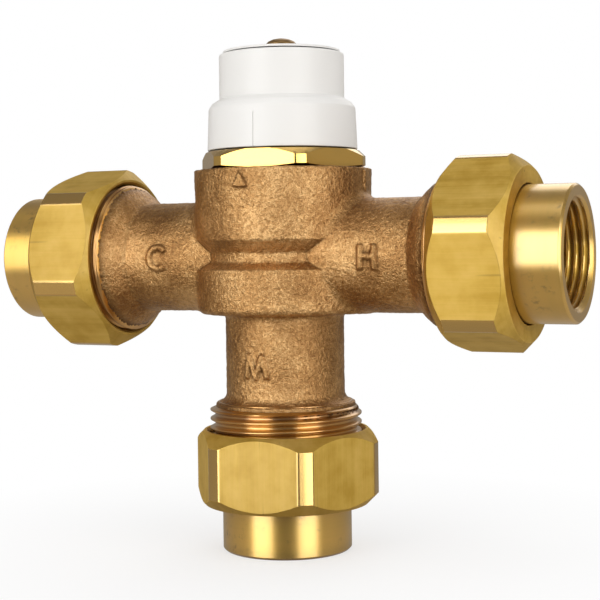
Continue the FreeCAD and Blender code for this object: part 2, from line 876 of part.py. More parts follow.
# ---- check valves and strainers ---------------------------------------------------------------------------
def check_cage(port):
    """Cartridge with the valve seat, three spokes and the poppet's guide."""
    outer_radius = inlet_bore - seat_gap
    flare_low = cage_outer - cage_flare
    root = outer_radius - cage_seal_depth
    low = cage_seal_at - cage_seal_width / 2
    high = cage_seal_at + cage_seal_width / 2
    shell = turned(
        [
            (cage_bore, cage_inner),
            (outer_radius, cage_inner),
            (outer_radius, low),
            (root, low),
            (root, high),
            (outer_radius, high),
            (outer_radius, cage_outer),
            (cage_mouth + cage_flare, cage_outer),
            (cage_mouth, flare_low),
            (cage_mouth, cage_seat),
            (cage_bore, cage_seat),
        ]
    )
    spoke = block((0, cage_bore + 0.5), (-cage_spoke_width / 2, cage_spoke_width / 2),
                  (cage_inner, cage_inner + cage_spider))
    hub = rod(cage_hub_radius, cage_inner, cage_inner + cage_hub_length)
    guide = rod(poppet_stem_radius + face_gap, cage_inner - 1, cage_inner + cage_hub_length + 1)
    return along(shell.fuse([hub] + around(spoke, cage_spokes)).cut(guide), port)


def cage_seal(port):
    root = inlet_bore - seat_gap - cage_seal_depth
    return along(seal_between(root, inlet_bore, cage_seal_at), port)


def check_poppet(port):
    """Poppet with its stem inwards and a pilot nose in the seat."""
    face = cage_seat - face_gap
    back = face - poppet_thickness
    groove_half = poppet_seal_section + ring_squeeze
    shape = turned(
        [
            (0, poppet_stem_end),
            (poppet_stem_radius, poppet_stem_end),
            (poppet_stem_radius, back),
            (poppet_radius, back),
            (poppet_radius, face),
            (poppet_nose_radius, face),
            (poppet_nose_radius - poppet_nose / 2, face + poppet_nose),
            (0, face + poppet_nose),
        ]
    )
    wide = poppet_seal_radius + groove_half
    groove = tube(wide, wide - 2 * groove_half, face - 2 * groove_half, face + 1)
    return along(shape.cut(groove), port)


def poppet_seal(port):
    height = cage_seat - face_gap / 2 - poppet_seal_section
    return along(Part.makeTorus(poppet_seal_radius, poppet_seal_section, Vector(0, 0, height)), port)


def check_spring(port):
    low = cage_inner + cage_spider + face_gap
    high = cage_seat - face_gap - poppet_thickness - face_gap
    return along(coil(check_radius, check_wire, low, high, check_turns), port)


def strainer(port):
    """Slotted basket hung from its rim between the body and the gasket."""
    rim_low = inlet_face - strainer_rim
    basket = turned(
        [
            (0, strainer_end),
            (strainer_radius, strainer_end),
            (strainer_radius, rim_low),
            (strainer_rim_radius, rim_low),
            (strainer_rim_radius, inlet_face),
            (strainer_radius - strainer_wall, inlet_face),
            (strainer_radius - strainer_wall, strainer_end + strainer_wall),
            (0, strainer_end + strainer_wall),
        ]
    )
    half = strainer_slot_width / 2
    side = (strainer_end + strainer_slot_margin, rim_low - strainer_slot_margin)
    floor = (strainer_end - 1, strainer_end + strainer_wall + 1)
    cuts = around(block((strainer_radius / 2, strainer_radius + 1), (-half, half), side), strainer_slots)
    clear = strainer_radius - strainer_wall - strainer_slot_margin
    for k in range(-floor_slots // 2 + 1, floor_slots // 2 + 1):
        at = k * strainer_slot_width
        reach = math.sqrt(clear ** 2 - at ** 2) - half
        cuts.append(block((-reach, reach), (at - half / 2, at + half / 2), floor))
    return along(basket.cut(cuts), port)


# ---- the whole valve --------------------------------------------------------------------------------------
def pieces():
    made = {
        "body": body(),
        "bonnet": bonnet(),
        "bonnet_seal": bonnet_seal(),
        "spindle": spindle(),
        "spindle_seal_lower": spindle_seal("lower"),
        "spindle_seal_upper": spindle_seal("upper"),
        "thrust_washer": thrust_washer(),
        "spindle_clip": spindle_clip(),
        "cap": cap(),
        "cap_disc": cap_disc(),
        "cap_screw": cap_screw(),
        "carrier": carrier(),
        "carrier_keeper": carrier_keeper(),
        "overload_cup": overload_cup(),
        "overload_spring": overload_spring(),
        "piston": piston(),
        "wax_element": wax_element(),
        "shuttle": shuttle(),
        "shuttle_seal": shuttle_seal(),
        "return_spring": return_spring(),
    }
    for port in ("hot", "cold"):
        made[port + "_check_cage"] = check_cage(port)
        made[port + "_check_poppet"] = check_poppet(port)
        made[port + "_poppet_seal"] = poppet_seal(port)
        made[port + "_check_spring"] = check_spring(port)
        made[port + "_cage_seal"] = cage_seal(port)
        made[port + "_strainer"] = strainer(port)
    for port in ports:
        made[port + "_gasket"] = gasket(port)
        made[port + "_tailpiece"] = tailpiece(port)
        made[port + "_union_nut"] = union_nut(port)
    return made


os.makedirs("parts", exist_ok=True)
for node, shape in pieces().items():
    solids = shape.Solids
    print(f"{node}: {len(solids)} solid, {sum(s.Volume for s in solids):.0f} mm3, valid {shape.isValid()}")
    (solids[0] if len(solids) == 1 else Part.makeCompound(solids)).exportStep(f"parts/{node}.step")
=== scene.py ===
import json
import math

import bmesh
import bpy
import numpy as np
from mathutils import Matrix, Vector, noise


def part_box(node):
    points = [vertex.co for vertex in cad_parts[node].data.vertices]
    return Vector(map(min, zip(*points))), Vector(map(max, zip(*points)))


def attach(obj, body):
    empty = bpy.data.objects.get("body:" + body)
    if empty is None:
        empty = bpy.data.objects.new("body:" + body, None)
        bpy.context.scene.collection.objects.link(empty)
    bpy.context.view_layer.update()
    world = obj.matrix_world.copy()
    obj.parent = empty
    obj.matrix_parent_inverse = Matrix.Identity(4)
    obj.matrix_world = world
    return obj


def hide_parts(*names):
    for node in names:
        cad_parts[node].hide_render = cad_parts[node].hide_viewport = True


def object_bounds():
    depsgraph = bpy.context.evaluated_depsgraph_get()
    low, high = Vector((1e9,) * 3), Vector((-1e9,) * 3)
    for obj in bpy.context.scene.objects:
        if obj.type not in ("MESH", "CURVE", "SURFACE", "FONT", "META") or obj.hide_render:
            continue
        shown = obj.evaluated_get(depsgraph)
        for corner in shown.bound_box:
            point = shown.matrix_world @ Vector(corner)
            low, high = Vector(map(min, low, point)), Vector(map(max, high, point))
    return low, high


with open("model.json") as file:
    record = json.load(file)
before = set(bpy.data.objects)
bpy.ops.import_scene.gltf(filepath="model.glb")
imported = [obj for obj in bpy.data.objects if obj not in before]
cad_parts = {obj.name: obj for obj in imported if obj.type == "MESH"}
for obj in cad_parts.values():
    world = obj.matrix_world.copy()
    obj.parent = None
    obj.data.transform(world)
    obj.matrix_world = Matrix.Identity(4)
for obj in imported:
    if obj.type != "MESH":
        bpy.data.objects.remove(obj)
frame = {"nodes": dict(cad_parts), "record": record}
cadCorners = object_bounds()
print("frame loaded,", len(frame["nodes"]), "nodes")

mm = 0.001
fullTurn = 2 * math.pi
tailLow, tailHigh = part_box("hot_tailpiece")
axisHeight = (tailLow.z + tailHigh.z) / 2 / mm     # the ports' axis above the floor, in mm
portTurns = {"hot": 90, "cold": -90, "mixed": 180}  # turns +Z onto the way out of each port
portFaces = {"hot": 53.75, "cold": 53.75, "mixed": 51.9}


def portPlace(port):
    turn = Matrix.Rotation(math.radians(portTurns[port]), 4, "Y")
    return Matrix.Translation((0, 0, axisHeight * mm)) @ turn


axisPlace = Matrix.Translation((0, 0, axisHeight * mm))     # for pieces on the cap's axis


cornerPoints = 4        # on each rounded corner of an outline


# outlines are (radius, height) in mm; a grid is rows of points round the axis, angle 0 at the front
def softened(corners, rounds, points=cornerPoints):
    here = np.asarray(corners, float)
    rounds = np.broadcast_to(np.asarray(rounds, float), here.shape[:-1])
    back = np.roll(here, 1, axis=-2) - here
    on = np.roll(here, -1, axis=-2) - here
    backLength = np.maximum(np.linalg.norm(back, axis=-1), 1e-9)
    onLength = np.maximum(np.linalg.norm(on, axis=-1), 1e-9)
    back = back / backLength[..., None]
    on = on / onLength[..., None]
    half = np.arccos(np.clip((back * on).sum(-1), -0.9999, 0.9999)) / 2
    reach = np.minimum(rounds / np.tan(half), 0.45 * np.minimum(backLength, onLength))[..., None]
    share = np.linspace(0, 1, points)[:, None]
    start = (here + back * reach)[..., None, :]
    end = (here + on * reach)[..., None, :]
    middle = here[..., None, :]
    arcs = (1 - share) ** 2 * start + 2 * share * (1 - share) * middle + share ** 2 * end
    return arcs.reshape(here.shape[:-2] + (-1, 2))


def evenOutline(corners, points=cornerPoints):
    # corners of (radius, height, rounding)
    return softened([c[:2] for c in corners], [c[2] for c in corners], points)


def variedOutline(corners, points=cornerPoints):
    # the same, where a radius or a height may be a row of values, one for each angle
    count = max(np.size(value) for corner in corners for value in corner)
    places = [[np.broadcast_to(value, count) for value in corner[:2]] for corner in corners]
    return softened(np.array(places).transpose(2, 0, 1), [c[2] for c in corners], points)


def spread(outline, angles):
    # gives an outline, or one outline for each angle, its place round the axis
    outline = np.asarray(outline, float)
    if outline.ndim == 2:
        outline = np.broadcast_to(outline, (len(angles),) + outline.shape)
    radius = outline[..., 0]
    turn = np.asarray(angles)[:, None]
    points = np.stack([radius * np.sin(turn), -radius * np.cos(turn), outline[..., 1]], -1)
    return points.transpose(1, 0, 2) * mm


def roundAngles(count):
    return np.arange(count) * fullTurn / count


def gridFaces(rows, columns, closed):
    row = np.arange(rows if closed else rows - 1)[:, None]
    column = np.arange(columns)
    nextRow = (row + 1) % rows * columns
    nextColumn = (column + 1) % columns
    corners = [row * columns + column, row * columns + nextColumn, nextRow + nextColumn, nextRow + column]
    return np.stack(np.broadcast_arrays(*corners), -1).reshape(-1, 4)


def tidyMesh(mesh, sharpAngle):
    work = bmesh.new()
    work.from_mesh(mesh)
    bmesh.ops.remove_doubles(work, verts=work.verts, dist=0.0005 * mm)
    bmesh.ops.dissolve_degenerate(work, dist=0.0001 * mm, edges=work.edges)
    if work.calc_volume(signed=True) < 0:
        bmesh.ops.reverse_faces(work, faces=work.faces)
    work.to_mesh(mesh)
    work.free()
    mesh.polygons.foreach_set("use_smooth", [True] * len(mesh.polygons))
    if sharpAngle:
        mesh.set_sharp_from_angle(angle=math.radians(sharpAngle))


def latheMesh(name, grid, closed=True, sharpAngle=40):
    mesh = bpy.data.meshes.new(name)
    mesh.from_pydata(grid.reshape(-1, 3).tolist(), [], gridFaces(*grid.shape[:2], closed).tolist())
    tidyMesh(mesh, sharpAngle)
    return mesh


def newPiece(name, mesh, material=None, place=None, evenNormals=True):
    piece = bpy.data.objects.new(name, mesh)
    bpy.context.scene.collection.objects.link(piece)
    if place is not None:
        piece.matrix_world = place
    if material is not None:
        mesh.materials.clear()
        mesh.materials.append(material)
    if evenNormals:
        even = piece.modifiers.new("evenNormals", "WEIGHTED_NORMAL")
        even.keep_sharp = True
        even.weight = 90
    return piece


def seat(piece, body, slotName, *nodes):
    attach(piece, body)
    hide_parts(*nodes)
    print("made", piece.name, "with", len(piece.data.polygons), "faces")
    return piece


def finalMesh(piece, name):
    # the piece's mesh with its modifiers carried out
    bpy.context.view_layer.update()
    shown = piece.evaluated_get(bpy.context.evaluated_depsgraph_get())
    mesh = bpy.data.meshes.new_from_object(shown)
    mesh.name = name
    return mesh


def joinedWith(mesh, other, how):
    # boolean of two meshes that share one frame
    left = newPiece("left", mesh, evenNormals=False)
    right = newPiece("right", other, evenNormals=False)
    step = left.modifiers.new("boolean", "BOOLEAN")
    step.operation = how
    step.solver = "MANIFOLD"
    step.object = right
    result = finalMesh(left, mesh.name + "Joined")
    bpy.data.objects.remove(left)
    bpy.data.objects.remove(right)
    return result


def rodMesh(radius, low, high, columns=96, place=None):
    grid = spread([(0, low), (radius, low), (radius, high), (0, high)], roundAngles(columns))
    mesh = latheMesh("rod", grid, closed=False, sharpAngle=0)
    if place is not None:
        mesh.transform(place)
    return mesh


def boxMesh(low, high):
    corners = [(x, y, z) for x in (low[0], high[0]) for y in (low[1], high[1]) for z in (low[2], high[2])]
    faces = [(0, 1, 3, 2), (4, 6, 7, 5), (0, 4, 5, 1), (2, 3, 7, 6), (0, 2, 6, 4), (1, 5, 7, 3)]
    mesh = bpy.data.meshes.new("box")
    mesh.from_pydata([tuple(mm * v for v in c) for c in corners], [], faces)
    return mesh


def hexRadius(angles, flats, corner):
    # distance to the side of a hexagon with a corner at angle `corner`, in radians
    fromFlat = (np.asarray(angles) - corner) % (fullTurn / 6) - fullTurn / 12
    return flats / 2 / np.cos(fromFlat)


def softLimit(values, limit, width=0.12):
    # the smaller of the two, with the crease between them rounded over `width` mm
    near = np.maximum(width - np.abs(values - limit), 0) / width
    return np.minimum(values, limit) - near ** 2 * width / 4


hexColumns = {
    "every": 2.0,       # degrees, across the flats
    "atCrease": (-1.6, -1.0, -0.65, -0.4, -0.2, 0, 0.2, 0.4, 0.65, 1.0),
    "last": 29.0,
}


def hexAngles(flats, cornerRadius, corner):
    # columns that crowd together where the flats meet the turned corners
    crease = math.degrees(math.acos(flats / 2 / cornerRadius))
    around = [crease + shift for shift in hexColumns["atCrease"]]
    plain = list(np.arange(1, crease - 2, hexColumns["every"]))
    half = sorted(plain + around + [hexColumns["last"]])
    sector = [-a for a in reversed(half)] + half + [30.0]
    turns = [corner + math.radians(60 * k + 30 + a) for k in range(6) for a in sector]
    return np.array(turns)


unionThread = {
    "crestRadius": 18.7,
    "depth": 1.2,
    "pitch": 2.23,
    "crestFlat": 0.3,
    "gap": 0.15,
    "starts": {"hot": 0.38, "cold": 0.38, "mixed": 0.352},      # share of a turn
}
threadForm = {"flank": 32, "easing": 0.55}      # a flank's slant in degrees, and how round its edges are


def threadHeight(angles, heights, pitch, depth, crestFlat, start=0.0):
    # 0 at the root and 1 at the crest of a right-hand thread
    phase = heights / pitch - np.asarray(angles)[:, None] / fullTurn + start
    fromCrest = np.abs(phase - np.round(phase)) * pitch
    flank = depth * math.tan(math.radians(threadForm["flank"]))
    rise = np.clip((crestFlat / 2 + flank - fromCrest) / flank, 0, 1)
    easing = threadForm["easing"]
    return (1 - easing) * rise + easing * rise ** 2 * (3 - 2 * rise)


def eased(values, low, high):
    share = np.clip((values - low) / (high - low), 0, 1)
    return share ** 2 * (3 - 2 * share)


# materials: every scale is in features per metre
def newMaterial(name, **sockets):
    material = bpy.data.materials.new(name)
    material.use_nodes = True
    shader = material.node_tree.nodes["Principled BSDF"]
    for socket, value in sockets.items():
        shader.inputs[socket.replace("_", " ")].default_value = value
    return material, material.node_tree, shader


def add(tree, kind, values=None, links=None, **options):
    node = tree.nodes.new("ShaderNode" + kind)
    for option, value in options.items():
        setattr(node, option, value)
    for socket, value in (values or {}).items():
        node.inputs[socket].default_value = value
    for socket, source in (links or {}).items():
        tree.links.new(source, node.inputs[socket])
    return node


def objectPoint(tree, scale=(1, 1, 1), shift=(0, 0, 0)):
    place = add(tree, "TexCoord").outputs["Object"]
    mapping = add(tree, "Mapping", {"Scale": scale, "Location": shift}, {"Vector": place})
    return mapping.outputs["Vector"]


def lengthOf(tree, source):
    return add(tree, "VectorMath", None, {0: source}, operation="LENGTH").outputs["Value"]


def lathePoint(tree):
    # radius and height in the piece's own frame, so that marks run round the axis
    place = add(tree, "SeparateXYZ", None, {0: add(tree, "TexCoord").outputs["Object"]}).outputs
    flat = add(tree, "CombineXYZ", None, {0: place[0], 1: place[1]}).outputs[0]
    return add(tree, "CombineXYZ", None, {0: lengthOf(tree, flat), 1: place[2]}).outputs[0]


def noiseOf(tree, point, scale, detail=3.0, roughness=0.5):
    values = {"Scale": scale, "Detail": detail, "Roughness": roughness}
    return add(tree, "TexNoise", values, {"Vector": point}).outputs["Fac"]


def ramp(tree, source, stops):
    node = add(tree, "ValToRGB", None, {"Fac": source})
    elements = node.color_ramp.elements
    while len(elements) < len(stops):
        elements.new(0.5)
    for element, (place, colour) in zip(elements, stops):
        element.position = place
        element.color = (*colour, 1) if len(colour) == 3 else colour
    return node.outputs["Color"]


def scaled(tree, source, low, high, fromLow=0.0, fromHigh=1.0):
    values = {"From Min": fromLow, "From Max": fromHigh, "To Min": low, "To Max": high}
    return add(tree, "MapRange", values, {"Value": source}).outputs["Result"]


def blended(tree, factor, first, second, how="MIX"):
    node = add(tree, "Mix", data_type="RGBA", blend_type=how, clamp_factor=True)
    for socket, value in ((0, factor), (6, first), (7, second)):
        if isinstance(value, (int, float, tuple)):
            node.inputs[socket].default_value = value if socket == 0 else (*value, 1)
        else:
            tree.links.new(value, node.inputs[socket])
    return node.outputs[2]


def product(tree, first, second):
    return add(tree, "Math", None, {0: first, 1: second}, operation="MULTIPLY").outputs[0]


def addBump(tree, shader, height, strength, distance, base=None):
    links = {"Height": height}
    if base is not None:
        links["Normal"] = base
    bump = add(tree, "Bump", {"Strength": strength, "Distance": distance * mm}, links)
    tree.links.new(bump.outputs["Normal"], shader.inputs["Normal"])
    return bump.outputs["Normal"]


casting = {
    "voxel": 0.25,          # mm
    "smoothing": 2,
    "ripple": [(0.055, 2.6), (0.085, 0.9)],      # height and size of the skin's unevenness, mm
    "flash": (0.5, 0.8, 0.5),     # the rims' ragged edge: height, size, and reach back from the edge, mm
    "rims": {"hot": 41.8, "cold": 41.8, "mixed": 37.0},     # the skin ends here, and the flare's takes over
    "threadStarts": {"hot": 43.05, "cold": 43.05, "mixed": 37.5},       # the rims' edges
    # each rim's outline: radius, and distance back from its edge
    "inletFlare": [(13.4, 6.2), (13.95, 5.2), (14.9, 4.2), (16.0, 3.1), (16.9, 2.0), (17.45, 0.95),
                   (17.8, 0)],
    "outletFlare": [(16.6, 1.3), (17.3, 0.5), (17.75, 0)],
    # upright rods that fill the casting for its skin: radius, low and high end from the ports' axis
    "plugs": [(18.6, -9.0, 21.1), (12.0, -37.0, -8.0)],
    "bores": [(18.6, -9.0, 23.0), (12.0, -42.0, -8.0)],     # the same, run on past the skin's ends
    "inletPlug": 12.0,
    "pastRims": 5,          # how far beyond the rims the inlets' plug reaches
    "rimColumns": 160,
    "trianglesAtMost": 190000,
}

castLook = {
    "dark": (0.27, 0.132, 0.046),
    "middle": (0.46, 0.252, 0.094),
    "light": (0.74, 0.46, 0.205),
    # painted shade: the colour laid into crevices, creases and the rims' edges
    "creviceShade": (0.085, 0.038, 0.010),
    "metallic": 0.97,
    "roughness": (0.29, 0.43),
    "tones": (0.12, 0.5, 0.88),     # places of dark, middle and light on the ramp
    "toneRange": (1.15, 2.05),      # of the summed noises
    "open": (0.35, 0.92),           # shade values from the deepest crevice to the open skin
    "creased": (0.45, 0.493),
    "depth": (0.9, 0.8),            # how dark the painted shade in crevices and creases goes
    "cloudScale": 90,
    "mottleScale": 1200,
    "grainScale": 3000,
    "grainHeight": 0.20,
    "mottleHeight": 0.32,
    "rimShadeSpan": (1.9, 0.0),        # how far from the rims' edges the painted shade next to the nuts starts, and where it's full, mm
    "creviceReach": 1.3,        # reach of the painted shade in crevices, mm
}


def shade(tree, reach):
    # 0 deep in a crevice and 1 in the open
    return add(tree, "AmbientOcclusion", {"Distance": reach * mm}, samples=6).outputs["AO"]


def castBronze():
    look = castLook
    material, tree, shader = newMaterial("castBronze", Metallic=look["metallic"])
    point = objectPoint(tree)
    cloud = noiseOf(tree, point, look["cloudScale"], 3, 0.55)
    mottle = noiseOf(tree, point, look["mottleScale"], 3, 0.6)
    grain = noiseOf(tree, point, look["grainScale"], 2, 0.6)
    fine = add(tree, "Math", {1: 1.0}, {0: grain, 2: mottle}, operation="MULTIPLY_ADD").outputs[0]
    mixed = add(tree, "Math", {1: 1.2}, {0: cloud, 2: fine}, operation="MULTIPLY_ADD").outputs[0]
    stops = list(zip(look["tones"], (look["dark"], look["middle"], look["light"])))
    colour = ramp(tree, scaled(tree, mixed, 0, 1, *look["toneRange"]), stops)
    # painted shade: darker in crevices by ambient occlusion and in creases by pointiness
    hollow = scaled(tree, shade(tree, look["creviceReach"]), look["depth"][0], 0, *look["open"])
    edge = add(tree, "NewGeometry").outputs["Pointiness"]
    creased = scaled(tree, edge, look["depth"][1], 0, *look["creased"])
    deep = add(tree, "Math", None, {0: hollow, 1: creased}, operation="MAXIMUM").outputs[0]
    # painted shade next to the nuts, at the rims' edges, broken up by the mottle
    sides = add(tree, "SeparateXYZ", None, {0: point}).outputs
    sideways = add(tree, "Math", None, {0: sides[0]}, operation="ABSOLUTE").outputs[0]
    starts = casting["threadStarts"]
    near, full = (reach * mm for reach in look["rimShadeSpan"])
    ends = scaled(tree, sideways, 0, 1, starts["hot"] * mm - near, starts["hot"] * mm - full)
    foot = (axisHeight - starts["mixed"]) * mm
    lower = scaled(tree, sides[2], 1, 0, foot + full, foot + near)
    rimShade = add(tree, "Math", None, {0: ends, 1: lower}, operation="MAXIMUM").outputs[0]
    rimShade = product(tree, rimShade, scaled(tree, mottle, 0.4, 1, 0.36, 0.52))
    deep = add(tree, "Math", None, {0: deep, 1: rimShade}, operation="MAXIMUM").outputs[0]
    colour = blended(tree, deep, colour, look["creviceShade"])
    tree.links.new(colour, shader.inputs["Base Color"])
    tree.links.new(scaled(tree, grain, *look["roughness"], 0.35, 0.65), shader.inputs["Roughness"])
    coarse = addBump(tree, shader, mottle, 0.9, look["mottleHeight"])
    addBump(tree, shader, grain, 0.9, look["grainHeight"], coarse)
    return material


brassLook = {
    "drawn": (0.64, 0.430, 0.090),
    "drawnDeep": (0.54, 0.345, 0.055),
    "drawnPale": (0.73, 0.510, 0.135),
    "base": (0.80, 0.500, 0.070),
    "deep": (0.70, 0.41, 0.045),
    "polished": (0.86, 0.530, 0.08),
    "corner": (0.69, 0.430, 0.09),
    "stain": (0.15, 0.08, 0.012),
    # painted shade laid into bores, thread roots and other hollows
    "hollow": (0.20, 0.095, 0.012),
    "threadBase": (0.72, 0.385, 0.065),
    "threadDeep": (0.48, 0.22, 0.035),
    "rubbed": 23.08 * mm,       # the nuts' corners are smooth outside this radius
    "rubbedRoughness": 0.22,
    "coat": {"Coat_Weight": 1.0, "Coat_IOR": 1.85, "Coat_Roughness": 0.24},
    "turnedScales": {"lines": 2600, "bands": 300, "clouds": 120, "spots": 420},
    "drawnScales": {"streaks": 2600, "wide": 420, "lines": 2200, "patches": 130, "nicks": 700},
    "lineHeight": 0.012,
    "flatRoughness": (0.52, 0.64),
    "faceTilt": (0.2, 0.35),    # where a surface counts as turned across, by its slope along the axis
}


def spreadGloss(tree, shader, axial):
    # stretches highlights across the tool's lines: along the axis, or round it
    around = add(tree, "Tangent", direction_type="RADIAL", axis="Z")
    tree.links.new(around.outputs[0], shader.inputs["Tangent"])
    shader.inputs["Anisotropic Rotation"].default_value = 0.25 if axial else 0.0


def turnedBrass(name, base, deep, roughness, stains=0.0, stretch=0.8, reach=0.0, coated=0):
    scales = brassLook["turnedScales"]
    coat = {**brassLook["coat"], "Coat_IOR": coated or brassLook["coat"]["Coat_IOR"]}
    material, tree, shader = newMaterial(name, Metallic=1.0, Anisotropic=stretch, **coat)
    spreadGloss(tree, shader, True)
    ring = lathePoint(tree)
    lines = noiseOf(tree, ring, scales["lines"], 2, 0.7)
    bands = noiseOf(tree, ring, scales["bands"], 2, 0.5)
    cloud = noiseOf(tree, objectPoint(tree), scales["clouds"], 4, 0.6)
    mixed = add(tree, "Math", {1: 0.6}, {0: cloud, 2: bands}, operation="MULTIPLY_ADD").outputs[0]
    colour = ramp(tree, scaled(tree, mixed, 0, 1, 0.5, 1.1), [(0.2, deep), (0.65, base)])
    spots = noiseOf(tree, objectPoint(tree), scales["spots"], 4, 0.7)
    patches = scaled(tree, cloud, 0, 1, 0.52, 0.72)
    stained = product(tree, patches, scaled(tree, spots, 0, stains, 0.5, 0.66))
    colour = blended(tree, stained, colour, brassLook["stain"])
    # painted shade: darker in hollows within reach mm, by ambient occlusion
    if reach:
        hollow = scaled(tree, shade(tree, reach), 0.9, 0, 0.2, 0.75)
        colour = blended(tree, hollow, colour, brassLook["hollow"])
    tree.links.new(colour, shader.inputs["Base Color"])
    tree.links.new(scaled(tree, lines, roughness - 0.04, roughness + 0.06), shader.inputs["Roughness"])
    addBump(tree, shader, lines, 0.5, brassLook["lineHeight"])
    return material


def drawnBrass():
    # flats keep the lines of the drawn bar; chamfers and faces are turned
    look = brassLook
    scales = look["drawnScales"]
    material, tree, shader = newMaterial("drawnBrass", Metallic=1.0, Anisotropic=0.6, **look["coat"])
    spreadGloss(tree, shader, False)
    along = objectPoint(tree, (1, 1, 0.03))
    streaks = noiseOf(tree, along, scales["streaks"], 2, 0.6)
    wide = noiseOf(tree, along, scales["wide"], 2, 0.5)
    lines = noiseOf(tree, lathePoint(tree), scales["lines"], 2, 0.7)
    facing = add(tree, "SeparateXYZ", None, {0: add(tree, "TexCoord").outputs["Normal"]}).outputs[2]
    tilt = add(tree, "Math", None, {0: facing}, operation="ABSOLUTE").outputs[0]
    turned = scaled(tree, tilt, 0, 1, *look["faceTilt"])
    marks = add(tree, "Mix", data_type="FLOAT")
    for socket, source in zip((0, 2, 3), (turned, streaks, lines)):
        tree.links.new(source, marks.inputs[socket])
    mark = marks.outputs[0]
    patch = noiseOf(tree, objectPoint(tree), scales["patches"], 4, 0.6)
    mixed = add(tree, "Math", {1: 0.5}, {0: wide, 2: patch}, operation="MULTIPLY_ADD").outputs[0]
    mixed = add(tree, "Math", {1: 0.5}, {0: mark, 2: mixed}, operation="MULTIPLY_ADD").outputs[0]
    stops = [(0.2, look["drawnDeep"]), (0.5, look["drawn"]), (0.85, look["drawnPale"])]
    colour = ramp(tree, scaled(tree, mixed, 0, 1, 0.6, 1.4), stops)
    nick = noiseOf(tree, objectPoint(tree, (1, 1, 0.06)), scales["nicks"], 1, 0.4)
    colour = blended(tree, scaled(tree, nick, 0, 0.35, 0.74, 0.8), colour, look["stain"])
    away = lengthOf(tree, objectPoint(tree, (1, 1, 0)))
    rubbed = scaled(tree, away, 0, 1, look["rubbed"] - 0.2 * mm, look["rubbed"])
    rubbed = product(tree, rubbed, scaled(tree, tilt, 1, 0, *look["faceTilt"]))
    tree.links.new(blended(tree, rubbed, colour, look["corner"]), shader.inputs["Base Color"])
    rough = add(tree, "Mix", {3: look["rubbedRoughness"]}, data_type="FLOAT")
    tree.links.new(rubbed, rough.inputs[0])
    tree.links.new(scaled(tree, mark, *look["flatRoughness"], 0.3, 0.7), rough.inputs[2])
    tree.links.new(rough.outputs[0], shader.inputs["Roughness"])
    tree.links.new(scaled(tree, rubbed, 0.15, 1), shader.inputs["Coat Weight"])
    lined = addBump(tree, shader, mark, 0.4, 0.010)
    addBump(tree, shader, nick, 0.2, 0.03, lined)
    return material


# the last colour is painted shade, under the cap's disc and in its hollows
capLook = {"white": (0.855, 0.84, 0.815), "cloudy": (0.825, 0.81, 0.78), "creviceShade": (0.05, 0.045, 0.04)}


def whitePlastic():
    material, tree, shader = newMaterial("whiteCap", Roughness=0.3, Specular_IOR_Level=0.12)
    cloud = noiseOf(tree, objectPoint(tree), 30, 2, 0.5)
    colour = ramp(tree, cloud, [(0.3, capLook["cloudy"]), (0.7, capLook["white"])])
    # painted shade under the disc and in the cap's hollows, by ambient occlusion
    hollow = scaled(tree, shade(tree, 0.9), 0.95, 0, 0.12, 0.55)
    tree.links.new(blended(tree, hollow, colour, capLook["creviceShade"]), shader.inputs["Base Color"])
    ripple = noiseOf(tree, objectPoint(tree), 260, 2, 0.5)
    addBump(tree, shader, ripple, 0.12, 0.03)
    return material


def plainFinish(name, colour, spread, roughness, metallic, scale, bump):
    # small pieces: one colour that varies a little, with a fine grain
    darker = tuple(v * (1 - spread) for v in colour)
    material, tree, shader = newMaterial(name, Metallic=metallic)
    point = objectPoint(tree)
    cloud = noiseOf(tree, point, scale / 6, 3, 0.6)
    grain = noiseOf(tree, point, scale, 3, 0.6)
    tree.links.new(ramp(tree, cloud, [(0.35, darker), (0.65, colour)]), shader.inputs["Base Color"])
    tree.links.new(scaled(tree, grain, roughness - 0.06, roughness + 0.08), shader.inputs["Roughness"])
    addBump(tree, shader, grain, 0.4, bump)
    return material


polished, base = brassLook["polished"], brassLook["base"]
threadColours = brassLook["threadBase"], brassLook["threadDeep"]
finishes = {
    "castBronze": castBronze(),
    "drawnBrass": drawnBrass(),
    "tailBrass": turnedBrass("tailBrass", polished, base, 0.38, stains=0.9, reach=6, coated=2.0),
    "bonnetBrass": turnedBrass("bonnetBrass", polished, base, 0.17, stretch=0.2, reach=2),
    "threadBronze": turnedBrass("threadBronze", *threadColours, 0.30, reach=1.5),
    "whiteCap": whitePlastic(),
    "screwBrass": plainFinish("screwBrass", (0.42, 0.27, 0.12), 0.3, 0.4, 1.0, 1800, 0.02),
    "machinedBrass": turnedBrass("machinedBrass", base, brassLook["deep"], 0.26),
    "acetal": plainFinish("acetal", (0.055, 0.055, 0.06), 0.25, 0.42, 0.0, 900, 0.01),
    "stainless": plainFinish("stainless", (0.62, 0.61, 0.59), 0.12, 0.28, 1.0, 2400, 0.006),
    "sealRubber": plainFinish("sealRubber", (0.018, 0.018, 0.018), 0.3, 0.55, 0.0, 1200, 0.008),
    "gasketFibre": plainFinish("gasketFibre", (0.30, 0.065, 0.045), 0.35, 0.8, 0.0, 1500, 0.03),
}
slotFinishes = {
    "cast_bronze": "castBronze",
    "machined_brass": "machinedBrass",
    "screw_brass": "screwBrass",
    "white_cap": "whiteCap",
    "acetal": "acetal",
    "stainless": "stainless",
    "seal_rubber": "sealRubber",
    "gasket_fibre": "gasketFibre",
}
nodeSlots = {part["node"]: part["material_slot"] for part in frame["record"]["subparts"]}
print("materials made:", len(finishes))


marks = {
    "relief": 0.8,         # mm above the skin
    "cold": {"radius": 13.75, "at": (-28.1, -0.1), "size": (2.55, 2.62), "stroke": 0.8},
    "hot": {"radius": 13.75, "at": (28.0, -0.2), "size": (1.75, 2.85), "stroke": 0.8},
    "mixed": {"radius": 14.6, "at": (-0.2, -26.2), "size": (3.6, 2.8), "stroke": 0.66},
    "arrow": {"radius": 21.9, "at": (-0.4, 16.6), "size": (1.95, 3.6)},
}


